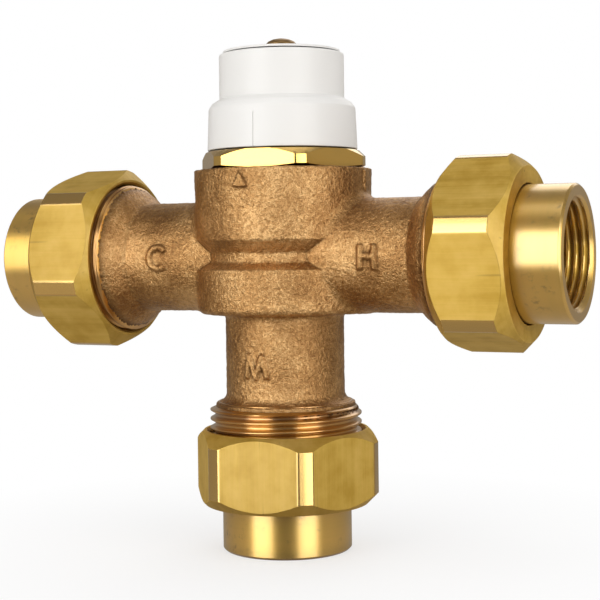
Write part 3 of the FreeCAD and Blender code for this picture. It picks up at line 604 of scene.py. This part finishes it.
def strokeMesh(points, radius):
    curve = bpy.data.curves.new("stroke", "CURVE")
    curve.dimensions = "3D"
    curve.bevel_depth = radius * mm
    curve.bevel_resolution = 3
    curve.use_fill_caps = True
    spline = curve.splines.new("POLY")
    spline.points.add(len(points) - 1)
    for target, point in zip(spline.points, points):
        target.co = (*point, 1)
    holder = bpy.data.objects.new("stroke", curve)
    bpy.context.scene.collection.objects.link(holder)
    mesh = finalMesh(holder, "strokeMesh")
    bpy.data.objects.remove(holder)
    return mesh


def onArm(radius, lengthwise, upward):
    # a point on an arm's front, from its distance along the arm and round it
    turn = upward / radius
    return Vector((lengthwise, -radius * math.cos(turn), radius * math.sin(turn) + axisHeight)) * mm


def onUpright(radius, sideways, height):
    turn = sideways / radius
    return Vector((radius * math.sin(turn), -radius * math.cos(turn), height + axisHeight)) * mm


def letterStrokes():
    # open lines in units of half the letter's width and height
    bend = [math.radians(a) for a in range(38, 323, 12)]
    return {
        "cold": [[(math.cos(a), math.sin(a)) for a in bend]],
        "hot": [[(-1, -1), (-1, 1)], [(1, -1), (1, 1)], [(-1, 0.08), (1, 0.08)]],
        "mixed": [[(-0.82, -1), (-0.66, 1), (-0.13, -1), (0.33, 0.95), (0.68, -1)]],
    }


def drawn(line, mark, wrap, step=0.5):
    # a letter's line, cut into short steps and wrapped on the casting
    points = []
    width, height = mark["size"]
    for (x0, y0), (x1, y1) in zip(line, line[1:]):
        count = max(1, round(math.hypot((x1 - x0) * width, (y1 - y0) * height) / step))
        points += [(x0 + (x1 - x0) * k / count, y0 + (y1 - y0) * k / count) for k in range(count)]
    points.append(line[-1])
    across, up = mark["at"]
    centre = mark["radius"] + marks["relief"] - mark["stroke"]
    return [wrap(centre, across + x * width, up + y * height) for x, y in points]


def arrowMesh():
    # a flat raised triangle, from its base's middle
    mark = marks["arrow"]
    across, up = mark["at"]
    width, height = mark["size"]
    outline = [(-width, 0), (width, 0), (0, height)]
    points = []
    for radius in (mark["radius"] - 1, mark["radius"] + marks["relief"]):
        points += [onUpright(radius, across + x, up + y) for x, y in outline]
    mesh = bpy.data.meshes.new("arrow")
    mesh.from_pydata(points, [], [(2, 1, 0), (3, 4, 5), (0, 1, 4, 3), (1, 2, 5, 4), (2, 0, 3, 5)])
    return mesh


def markMeshes():
    made = []
    for port, lines in letterStrokes().items():
        wrap = onUpright if port == "mixed" else onArm
        made += [strokeMesh(drawn(line, marks[port], wrap), marks[port]["stroke"]) for line in lines]
    made.append(arrowMesh())
    return made


def joinedMesh(meshes, name):
    work = bmesh.new()
    for mesh in meshes:
        work.from_mesh(mesh)
    whole = bpy.data.meshes.new(name)
    work.to_mesh(whole)
    work.free()
    return whole


def noiseAt(places, size):
    return np.array([noise.noise(p) for p in (places / (size * mm)).tolist()])


def skinNoise(mesh):
    # uneven skin, and a ragged edge round each rim
    count = len(mesh.vertices)
    places = np.empty(count * 3)
    mesh.vertices.foreach_get("co", places)
    normals = np.empty(count * 3)
    mesh.vertex_normals.foreach_get("vector", normals)
    places = places.reshape(-1, 3)
    lift = sum(height * mm * noiseAt(places, size) for height, size in casting["ripple"])
    height, size, reach = casting["flash"]
    for port, start in casting["threadStarts"].items():
        inPort = np.array(portPlace(port).inverted())
        along = places @ inPort[2, :3] + inPort[2, 3]
        edge = np.exp(-((start * mm - along) / (reach * mm)) ** 2)
        near = edge > 0.02
        lift[near] += edge[near] * height * mm * (0.3 + noiseAt(places[near], size))
    places += normals.reshape(-1, 3) * lift[:, None]
    mesh.vertices.foreach_set("co", places.ravel())
    mesh.update()


def rimMesh(port):
    # the last of a rim's cast skin, next to the thread
    high = casting["threadStarts"][port]
    flare = casting["outletFlare" if port == "mixed" else "inletFlare"]
    corners = [(0, high - flare[0][1])] + [(radius, high - back) for radius, back in flare] + [(0, high)]
    grid = spread(corners, roundAngles(casting["rimColumns"]))
    mesh = latheMesh("rim", grid, closed=False, sharpAngle=0)
    mesh.transform(portPlace(port))
    return mesh


def castBody():
    solid = frame["nodes"]["body"].data.copy()
    tidyMesh(solid, 0)
    plugs, bores = ([rodMesh(radius, low, high, place=axisPlace) for radius, low, high in casting[kind]]
                    for kind in ("plugs", "bores"))
    reach = casting["threadStarts"]["hot"] + casting["pastRims"]
    inlets = rodMesh(casting["inletPlug"], -reach, reach, place=portPlace("hot"))
    filled = solid.copy()
    for plug in plugs + [inlets.copy()]:
        filled = joinedWith(filled, plug, "UNION")
    for port, start in casting["rims"].items():
        filled = joinedWith(filled, rodMesh(40, start, 90, place=portPlace(port)), "DIFFERENCE")
    hollow = joinedWith(joinedWith(bores[0], bores[1], "UNION"), inlets, "UNION")
    hollow = joinedWith(hollow, solid, "DIFFERENCE")
    print("casting filled,", len(filled.polygons), "faces")
    rims = [rimMesh(port) for port in portTurns]
    draft = joinedMesh([filled] + rims + markMeshes(), "castingDraft")
    holder = newPiece("castingDraft", draft, evenNormals=False)
    remesh = holder.modifiers.new("skin", "REMESH")
    remesh.mode = "VOXEL"
    remesh.voxel_size = casting["voxel"] * mm
    soften = holder.modifiers.new("soften", "SMOOTH")
    soften.iterations = casting["smoothing"]
    soften.factor = 0.5
    skin = finalMesh(holder, "castingSkin")
    bpy.data.objects.remove(holder)
    print("casting skin,", len(skin.polygons), "faces")
    skinNoise(skin)
    body = joinedWith(skin, hollow, "DIFFERENCE")
    triangles = sum(len(p.vertices) - 2 for p in body.polygons)
    piece = newPiece("castBody", body, finishes["castBronze"], evenNormals=False)
    if triangles > casting["trianglesAtMost"]:
        thin = piece.modifiers.new("thin", "DECIMATE")
        thin.ratio = casting["trianglesAtMost"] / triangles
        piece.data = finalMesh(piece, "castBody")
        piece.modifiers.clear()
    tidyMesh(piece.data, 50)
    print("casting triangles", sum(len(p.vertices) - 2 for p in piece.data.polygons))
    return seat(piece, "valve", "cast_bronze", "body")


# the machined ends of the casting
threadEnds = {
    "low": {"hot": 41.0, "cold": 41.0, "mixed": 35.6},         # sunk in the casting
    "fadeIn": {"hot": (42.6, 43.1), "cold": (42.6, 43.1), "mixed": (36.8, 37.4)},
    "collar": {"hot": 43.95, "cold": 43.95, "mixed": 0.0},     # a plain ring ends here, before the thread
    "collarRadius": 18.35,
    "collarEdge": 0.25,
    "sink": 0.9,                # how far the hidden part stays below the casting's skin
    "hidden": 15.0,             # radius of the end inside the casting
    "firstRow": 0.3,
    "fadeOut": (0.35, 1.3),     # of the thread, before the end face
    "bevel": 0.3,
    # radius, depth from the end face and rounding
    "inletBores": [(9.6, None, 0), (9.6, 1.45, 0.1), (11.6, 1.45, 0.1), (11.6, 0.0, 0.15)],
    "outletBores": [(10.4, None, 0), (10.4, 0.0, 0.1)],
    "rowStep": 0.15,
    "columns": 200,
}


def withThreads(before, threads, after):
    # one outline for each angle: plain corners, rows of thread, plain corners
    rows = [np.broadcast_to(part, (len(threads),) + np.shape(part)) for part in (before, after)]
    return np.concatenate([rows[0], threads, rows[1]], axis=1)


def threadEnd(port):
    face = portFaces[port]
    low = threadEnds["low"][port]
    fadeLow, fadeHigh = threadEnds["fadeIn"][port]
    lastRow = threadEnds["fadeOut"][0]
    depth = unionThread["depth"]
    root = unionThread["crestRadius"] - depth
    angles = roundAngles(threadEnds["columns"])
    heights = np.arange(low + threadEnds["firstRow"], face - lastRow, threadEnds["rowStep"])
    height = threadHeight(angles, heights[None, :], unionThread["pitch"], depth, unionThread["crestFlat"],
                          unionThread["starts"][port])
    height = height * eased(heights, fadeLow, fadeHigh) * eased(face - heights, *threadEnds["fadeOut"])
    collarEnd = threadEnds["collar"][port]
    collar = (threadEnds["collarRadius"] - root) * eased(heights, fadeLow, fadeHigh)
    collar = collar * (1 - eased(heights, collarEnd - threadEnds["collarEdge"], collarEnd))
    hidden = threadEnds["sink"] * (1 - eased(heights, fadeLow - threadEnds["firstRow"], fadeLow))
    radii = root + np.maximum(depth * height, collar) - hidden
    threads = np.stack([radii, np.broadcast_to(heights, height.shape)], -1)
    bores = threadEnds["outletBores"] if port == "mixed" else threadEnds["inletBores"]
    inner = evenOutline([(radius, low if depth is None else face - depth, rounding)
                         for radius, depth, rounding in bores])
    outer = [(threadEnds["hidden"], low), (root - threadEnds["sink"], low)]
    bevel = threadEnds["bevel"]
    end = [(root, face - bevel), (root - bevel, face)]
    outline = withThreads(outer, threads, np.concatenate([end, inner[::-1]]))
    mesh = latheMesh(port + "ThreadEnd", spread(outline, angles), sharpAngle=60)
    piece = newPiece(port + "ThreadEnd", mesh, finishes["threadBronze"], portPlace(port))
    return seat(piece, "valve", "cast_bronze", "body")


unionNut = {
    "flats": 41.7,
    "cornerRadius": 23.15,
    "faceRadius": 20.2,
    "reach": 9.45,              # back over the body's thread
    "ahead": 8.75,              # past the body's end face
    "hole": 16.2,
    "lip": 5.75,
    "corners": {"hot": -17.2, "cold": 41.2, "mixed": -37.1},   # degrees from the port's own front
    "sink": 0.8,
    "threadDepth": 0.55,        # cut outwards, so that the nut turns freely round the body's thread
    "threadFlat": 0.4,
    "rowStep": 0.17,
    "fades": (0.4, 1.2, 1.6),   # the thread's start from each end, and where it's full at foot and top
    "edge": 0.22,
}


def unionNutPiece(port):
    nut = unionNut
    face = portFaces[port]
    low, high = face - nut["reach"], face + nut["ahead"]
    corner = math.radians(nut["corners"][port])
    angles = hexAngles(nut["flats"], nut["cornerRadius"], corner)
    outer = softLimit(hexRadius(angles, nut["flats"], corner), nut["cornerRadius"])
    slope = outer - nut["faceRadius"]
    crest = unionThread["crestRadius"] + unionThread["gap"]
    corners = [
        (crest + nut["sink"], low, 0.1),
        (nut["faceRadius"], low, 0.12),
        (outer, low + slope, nut["edge"]),
        (outer, high - slope, nut["edge"]),
        (nut["faceRadius"], high, 0.12),
        (nut["hole"], high, 0.3),
        (nut["hole"], (face + nut["lip"]), 0.1),
        (crest, face + nut["lip"], 0.1),
        (crest, (low + nut["sink"]), 0.1),
    ]
    outline = variedOutline(corners)
    top, foot = face + nut["lip"], low + nut["sink"]
    start, fullAtFoot, fullAtTop = nut["fades"]
    heights = np.arange(top - start, foot + start, -nut["rowStep"])
    grooves = 1 - threadHeight(angles, heights[None, :], unionThread["pitch"], nut["threadDepth"],
                               nut["threadFlat"], unionThread["starts"][port])
    grooves = grooves * eased(heights - foot, start, fullAtFoot) * eased(top - heights, start, fullAtTop)
    radii = crest + nut["threadDepth"] * grooves
    threads = np.stack([radii, np.broadcast_to(heights, radii.shape)], -1)
    outline = np.concatenate([outline[:, :-cornerPoints], threads, outline[:, -cornerPoints:]], axis=1)
    mesh = latheMesh(port + "UnionNut", spread(outline, angles))
    piece = newPiece(port + "UnionNut", mesh, finishes["drawnBrass"], portPlace(port))
    return seat(piece, port + "_nut", "machined_brass", port + "_union_nut")


tail = {
    "water": 10.4,
    "start": 1.9,               # from the body's end face, past the gasket
    "collar": (17.4, 5.7),      # radius, and where it ends
    "radius": 15.9,
    "length": 18.2,
    "edge": 0.55,
    "mouth": 11.65,             # minor radius of the pipe thread
    "chamfer": (13.3, 0.9),     # the mouth's chamfer: radius and depth
    "threadDepth": 1.1,
    "threadPitch": 1.814,
    "threadLength": 13.6,
    "threadFlat": 0.35,
    "threadFade": 2.0,
    "taper": 1 / 32,
    "waterStart": 15.6,         # depth where the plain bore begins
    "rowStep": 0.15,
    "columns": 192,
}


def tailPiece(port):
    face = portFaces[port]
    low = face + tail["start"]
    end = low + tail["length"]
    collarRadius, collarEnd = tail["collar"]
    edge = tail["edge"]
    corners = [
        (tail["water"], low, 0.2),
        (collarRadius, low, 0.5),
        (collarRadius, face + collarEnd, 0.15),
        (tail["radius"], face + collarEnd, 0.4),
        (tail["radius"], end - edge, 0.25),
        (tail["radius"] - edge, end, 0.25),
        (tail["chamfer"][0], end, 0.15),
        (tail["chamfer"][0] - tail["chamfer"][1], end - tail["chamfer"][1], 0.0),
    ]
    outline = evenOutline(corners)
    angles = roundAngles(tail["columns"])
    flat = tail["threadFlat"]
    heights = np.arange(end - flat, end - tail["threadLength"], -tail["rowStep"])
    grooves = 1 - threadHeight(angles, heights[None, :], tail["threadPitch"], tail["threadDepth"], flat)
    into = end - heights
    grooves = grooves * eased(tail["threadLength"] - into, 0, tail["threadFade"])
    crest = tail["mouth"] + flat - into * tail["taper"]
    radii = np.maximum(crest + tail["threadDepth"] * grooves, tail["chamfer"][0] - into)
    threads = np.stack([radii, np.broadcast_to(heights, radii.shape)], -1)
    inner = [(tail["mouth"] - 0.1, end - tail["threadLength"] - 0.2),
             (tail["water"], end - tail["waterStart"])]
    whole = withThreads(outline[:-cornerPoints], threads, inner)
    mesh = latheMesh(port + "Tail", spread(whole, angles))
    piece = newPiece(port + "Tail", mesh, finishes["tailBrass"], portPlace(port))
    return seat(piece, "valve", "machined_brass", port + "_tailpiece")


bonnet = {
    "flats": 37.4,
    "cornerRadius": 20.85,
    "bottom": 21.25,
    "top": 25.65,
    "chamfer": 1.9,
    "chamferRises": (0.25, 0.8),        # at the bottom and at the top
    "turn": 38.0,
    "boreFlats": 22.0,
    "boreCorner": 12.45,
    "boreEnds": (28.7, 12.0),
    # radius, height and rounding of the plain corners, from the hexagon's top to its foot
    "tower": [(15.0, 25.65, 0.4), (15.0, 33.6, 0.2), (14.2, 34.4, 0.2), (8.6, 34.4, 0.2),
              (8.6, 41.2, 0.1), (7.8, 42.0, 0.1), (5.03, 42.0, 0.1), (5.03, 31.2, 0.1),
              (7.15, 31.2, 0.1), (7.15, 28.7, 0.1)],
    "neck": [(12.8, 12.0, 0.1), (12.8, 8.8, 0.1), (13.9, 8.8, 0.2), (17.0, 11.5, 0.2), (17.0, 18.6, 0.2),
             (16.0, 18.6, 0), (16.0, 21.25, 0)],
}


def bonnetPiece():
    corner = math.radians(bonnet["turn"])
    angles = hexAngles(bonnet["flats"], bonnet["cornerRadius"], corner)
    outer = softLimit(hexRadius(angles, bonnet["flats"], corner), bonnet["cornerRadius"])
    bore = softLimit(hexRadius(angles, bonnet["boreFlats"], corner), bonnet["boreCorner"])
    bottom, top = bonnet["bottom"], bonnet["top"]
    bottomRise, topRise = bonnet["chamferRises"]
    slope = np.maximum(outer - (bonnet["cornerRadius"] - bonnet["chamfer"]), 0)
    hexagon = [
        (outer - slope, bottom, 0.1),
        (outer, bottom + slope * bottomRise + 0.1, 0.12),
        (outer, top - slope * topRise - 0.1, 0.12),
        (outer - slope, top, 0.1),
    ]
    inside = [(bore, height, 0.1) for height in bonnet["boreEnds"]]
    outline = variedOutline(bonnet["neck"][-1:] + hexagon + bonnet["tower"] + inside + bonnet["neck"][:-1])
    mesh = latheMesh("bonnetHead", spread(outline, angles))
    piece = newPiece("bonnetHead", mesh, finishes["bonnetBrass"], axisPlace)
    return seat(piece, "valve", "machined_brass", "bonnet")


cap = {
    "skirtBottom": 26.0,
    "skirtRadius": 18.5,
    "skirtTop": (18.1, 36.2),
    "shoulder": (17.2, 37.5),
    "waist": (15.4, 38.6),
    "top": 49.6,
    "wall": 1.9,
    "markTurn": 4.3,            # the mould line, in degrees from the front
    "markWidth": 0.36,
    "markDepth": 0.16,
    "markTop": [(0.32, 34.2), (0.34, 34.5)],    # the skirt's taper and height, at the line's end and above
    "markColumns": (-1.6, -1.0, -0.85, -0.4, 0.4, 0.85, 1.0, 1.6),      # in half widths
    "columns": 216,
    # radius, height and rounding of the corners under the disc and inside
    "inside": [(12.6, 49.6, 0.15), (12.6, 48.7, 0.1), (2.05, 48.7, 0.1), (2.05, 47.2, 0.1),
               (5.05, 47.2, 0.1), (5.05, 43.55, 0.2), (7.2, 43.55, 0.2), (7.2, 47.2, 0.3),
               (13.5, 47.2, 0.4), (13.5, 36.7, 0.3), (15.3, 35.6, 0.4), (16.2, 34.3, 0.4)],
    "ribs": 6,
    "rib": [(6.9, -0.6, 45.2), (13.8, 0.6, 47.6)],      # its low and high corner
    "ribTurn": 30,
}
capDisc = {"radius": 14.45, "bottom": 49.9, "top": 50.5, "hole": 2.05, "spigot": 12.5, "floor": 48.75}
capScrew = {
    "radius": 1.9,
    "tip": [(0, 42.1), (1.4, 42.1), (1.9, 42.6)],
    "head": 3.9,
    "seat": 50.55,
    "high": 53.65,
    "dome": 1.8,
    "domeSteps": (15, 35, 55, 75),      # degrees
    "slot": (0.9, 1.1),                 # width and depth
    "turn": 12.0,
}


def capAngles():
    plain = roundAngles(cap["columns"])
    middle = math.radians(cap["markTurn"])
    half = cap["markWidth"] / 2 / cap["skirtRadius"]
    close = [middle + half * share for share in cap["markColumns"]]
    away = [a for a in plain if abs(a - middle) > 2.2 * half]
    return np.array(sorted(away + close))


def capPiece():
    angles = capAngles()
    radius, bottom = cap["skirtRadius"], cap["skirtBottom"]
    half = cap["markWidth"] / 2
    offset = np.abs(angles - math.radians(cap["markTurn"])) * radius
    groove = cap["markDepth"] * (1 - eased(offset, 0.8 * half, half))
    (taper, height), (taperAbove, heightAbove) = cap["markTop"]
    outside = [
        (radius - cap["wall"], bottom, 0.3),
        (radius - groove, bottom, 0.35),
        (radius - taper - groove, height, 0.02),
        (radius - taperAbove, heightAbove, 0.02),
        (*cap["skirtTop"], 0.9),
        (*cap["shoulder"], 0.6),
        (*cap["waist"], 0.25),
        (cap["waist"][0], cap["top"], 0.45),
    ]
    outline = variedOutline(outside + cap["inside"], points=5)
    mesh = latheMesh("capMoulding", spread(outline, angles), sharpAngle=50)
    for k in range(cap["ribs"]):
        rib = boxMesh(*cap["rib"])
        turn = cap["ribTurn"] + 360 * k / cap["ribs"]
        rib.transform(Matrix.Rotation(math.radians(turn), 4, "Z"))
        mesh = joinedWith(mesh, rib, "UNION")
    tidyMesh(mesh, 40)
    piece = newPiece("capMoulding", mesh, finishes["whiteCap"], axisPlace)
    return seat(piece, "adjuster", "white_cap", "cap")


def capDiscPiece():
    disc = capDisc
    corners = [
        (disc["hole"], disc["floor"], 0.05),
        (disc["spigot"], disc["floor"], 0.1),
        (disc["spigot"], disc["bottom"], 0.05),
        (disc["radius"], disc["bottom"], 0.1),
        (disc["radius"], disc["top"], 0.3),
        (disc["hole"], disc["top"], 0.1),
    ]
    outline = evenOutline(corners, points=5)
    mesh = latheMesh("capTopDisc", spread(outline, roundAngles(cap["columns"])))
    piece = newPiece("capTopDisc", mesh, finishes["whiteCap"], axisPlace)
    return seat(piece, "adjuster", "white_cap", "cap_disc")


def capScrewPiece():
    screw = capScrew
    head, dome = screw["head"], screw["dome"]
    rim = screw["high"] - dome
    curve = [(head * math.cos(a), rim + dome * math.sin(a)) for a in np.radians(screw["domeSteps"])]
    under = [(screw["radius"], screw["seat"]), (head, screw["seat"]), (head, rim)]
    corners = screw["tip"] + under + curve + [(0, screw["high"])]
    rounds = [0] + [0.1] * (len(corners) - 2) + [0]
    mesh = latheMesh("capTopScrew", spread(softened(corners, rounds), roundAngles(96)), closed=False)
    width, depth = screw["slot"]
    slot = boxMesh((-6, -width / 2, screw["high"] - depth), (6, width / 2, screw["high"] + 2))
    slot.transform(Matrix.Rotation(math.radians(screw["turn"]), 4, "Z"))
    mesh = joinedWith(mesh, slot, "DIFFERENCE")
    tidyMesh(mesh, 35)
    piece = newPiece("capTopScrew", mesh, finishes["screwBrass"], axisPlace)
    return seat(piece, "adjuster", "screw_brass", "cap_screw")


def dressNodes():
    # the pieces inside keep their CAD shape and get their finish
    for name, node in frame["nodes"].items():
        node.data.materials.clear()
        node.data.materials.append(finishes[slotFinishes[nodeSlots[name]]])
        node.data.polygons.foreach_set("material_index", [0] * len(node.data.polygons))


dressNodes()
castBody()
for port in portTurns:
    threadEnd(port)
    unionNutPiece(port)
    tailPiece(port)
bonnetPiece()
capPiece()
capDiscPiece()
capScrewPiece()
print("pieces made")


studio = {
    "floorSize": 6.0,           # metres
    "floorGap": 0.02,           # mm below the valve
    "paper": (0.95, 0.945, 0.94),
    "clearNear": 0.6,           # share of plain white in the floor at the valve's axis
    "clearFrom": 0.0,
    "clearTo": 0.12,            # metres from the axis where the floor is all plain white
    "aimHeight": 0.072,
    "glossShare": 0.08,         # how strongly metal sees the plain white background
    "level": 0.63,              # plain light from all round
}
softboxes = [
    # name, degrees from the camera's side, degrees up, distance, width, height,
    # brightness on plain surfaces, and brightness as metal sees it
    ("leftBox", -45, 10, 0.85, 0.58, 0.85, 1.8, 3.6),
    ("rightBox", 36, 8, 0.85, 0.54, 0.80, 1.6, 3.4),
    ("topBox", -8, 78, 0.90, 0.50, 0.40, 0.9, 0.9),
    ("backBox", 160, 35, 1.00, 0.70, 0.60, 1.2, 1.2),
]
camera = {
    "turn": 26.3,
    "rise": 0.62,
    "roll": -0.77,
    "distance": 0.3492,
    "lens": 84.76,
    "sensor": 36,
    "shift": (0.0267, -0.0733),
}


def towards(turn, rise):
    turn, rise = math.radians(turn), math.radians(rise)
    return Vector((math.sin(turn) * math.cos(rise), -math.cos(turn) * math.cos(rise), math.sin(rise)))


def backgroundSeen(tree):
    # 1 where the camera sees the plain background, and a share of it for metal and glass
    path = add(tree, "LightPath").outputs
    links = {0: path["Is Glossy Ray"], 1: path["Is Transmission Ray"]}
    shiny = add(tree, "Math", None, links, operation="ADD").outputs[0]
    links = {0: shiny, 2: path["Is Camera Ray"]}
    return add(tree, "Math", {1: studio["glossShare"]}, links, operation="MULTIPLY_ADD").outputs[0]


def makeFloor():
    mesh = bpy.data.meshes.new("floor")
    half = studio["floorSize"] / 2
    corners = [(-half, -half, 0), (half, -half, 0), (half, half, 0), (-half, half, 0)]
    mesh.from_pydata(corners, [], [(0, 1, 2, 3)])
    floor = bpy.data.objects.new("floor", mesh)
    bpy.context.scene.collection.objects.link(floor)
    floor.location.z = cadCorners[0].z - studio["floorGap"] * mm
    material, tree, shader = newMaterial("floorPaper", Roughness=0.9)
    away = lengthOf(tree, objectPoint(tree))
    clear = scaled(tree, away, studio["clearNear"], 1, studio["clearFrom"], studio["clearTo"])
    speck = noiseOf(tree, objectPoint(tree), 40, 2, 0.5)
    paper = ramp(tree, speck, [(0.3, studio["paper"]), (0.7, tuple(v + 0.01 for v in studio["paper"]))])
    tree.links.new(paper, shader.inputs["Base Color"])
    white = add(tree, "Emission", {"Color": (1, 1, 1, 1), "Strength": 1.0})
    mixed = product(tree, clear, backgroundSeen(tree))
    mix = add(tree, "MixShader", None, {0: mixed, 1: shader.outputs[0], 2: white.outputs[0]})
    tree.links.new(mix.outputs[0], tree.nodes["Material Output"].inputs["Surface"])
    mesh.materials.append(material)
    floor.visible_glossy = False        # metal sees the surroundings below the valve instead


surroundings = {
    "warmth": (1.0, 0.87, 0.68),
    # levels that metal sees round the valve, by place from low to high and from back to front
    "upward": [(0.0, 0.3), (0.25, 0.5), (0.38, 0.38), (0.46, 0.2), (0.52, 0.3), (0.68, 0.34), (0.85, 0.16),
               (1.0, 0.25)],
    "ahead": [(0.0, 0.7), (0.3, 0.9), (0.6, 1.15), (0.85, 0.55), (1.0, 0.25)],
}


def toned(stops, tone=(1, 1, 1)):
    return [(place, tuple(level * part for part in tone)) for place, level in stops]


def makeWorld():
    world = bpy.data.worlds.new("studioWorld")
    bpy.context.scene.world = world
    world.use_nodes = True
    tree = world.node_tree
    plain = tree.nodes["Background"]
    direction = add(tree, "TexCoord").outputs["Generated"]
    upward = add(tree, "SeparateXYZ", None, {0: direction}).outputs[2]
    front = towards(camera["turn"], 0)
    ahead = add(tree, "VectorMath", {1: front}, {0: direction}, operation="DOT_PRODUCT").outputs["Value"]
    warm = toned(surroundings["upward"], surroundings["warmth"])
    byHeight = ramp(tree, scaled(tree, upward, 0, 1, -1, 1), warm)
    byTurn = ramp(tree, scaled(tree, ahead, 0, 1, -1, 1), toned(surroundings["ahead"]))
    reflected = blended(tree, 1.0, byHeight, byTurn, "MULTIPLY")
    level = studio["level"]
    glossy = add(tree, "LightPath").outputs["Is Glossy Ray"]
    tree.links.new(blended(tree, glossy, (level, level, level), reflected), plain.inputs["Color"])
    plain.inputs["Strength"].default_value = 1.0
    white = add(tree, "Background", {"Color": (1, 1, 1, 1), "Strength": 1.0})
    links = {0: backgroundSeen(tree), 1: plain.outputs[0], 2: white.outputs[0]}
    mix = add(tree, "MixShader", None, links)
    tree.links.new(mix.outputs[0], tree.nodes["World Output"].inputs["Surface"])


def makeSoftboxes():
    aim = Vector((0, 0, studio["aimHeight"]))
    for name, turn, rise, distance, width, height, brightness, sheen in softboxes:
        back = towards(camera["turn"] + turn, rise)
        for suffix, strength in (("", brightness), ("Sheen", sheen)):
            light = bpy.data.lights.new(name + suffix, "AREA")
            light.shape = "RECTANGLE"
            light.size, light.size_y = width, height
            light.energy = strength * math.pi * width * height
            lamp = bpy.data.objects.new(name + suffix, light)
            bpy.context.scene.collection.objects.link(lamp)
            # the sheen's lamp stands nearer, so that the other can't hide it
            lamp.location = aim + back * (distance - 2 * mm * (suffix == "Sheen"))
            lamp.rotation_euler = (-back).to_track_quat("-Z", "Y").to_euler()
            lamp.visible_camera = False
            lamp.visible_glossy = suffix == "Sheen"
            lamp.visible_diffuse = suffix != "Sheen"


def makeCamera():
    data = bpy.data.cameras.new("camera")
    data.lens = camera["lens"]
    data.sensor_width = camera["sensor"]
    data.shift_x, data.shift_y = camera["shift"]
    data.clip_start, data.clip_end = 0.01, 20
    eye = bpy.data.objects.new("camera", data)
    bpy.context.scene.collection.objects.link(eye)
    back = towards(camera["turn"], camera["rise"])
    turn = math.radians(camera["turn"])
    level = Vector((math.cos(turn), math.sin(turn), 0))
    upright = back.cross(level)
    roll = math.radians(camera["roll"])
    sideways = math.cos(roll) * level + math.sin(roll) * upright
    upward = -math.sin(roll) * level + math.cos(roll) * upright
    place = Matrix((sideways, upward, back)).transposed().to_4x4()
    place.translation = Vector((0, 0, axisHeight * mm)) + back * camera["distance"]
    eye.matrix_world = place
    bpy.context.scene.camera = eye


makeFloor()
makeWorld()
makeSoftboxes()
makeCamera()
bpy.context.scene.view_settings.view_transform = "Standard"
print("stage set")
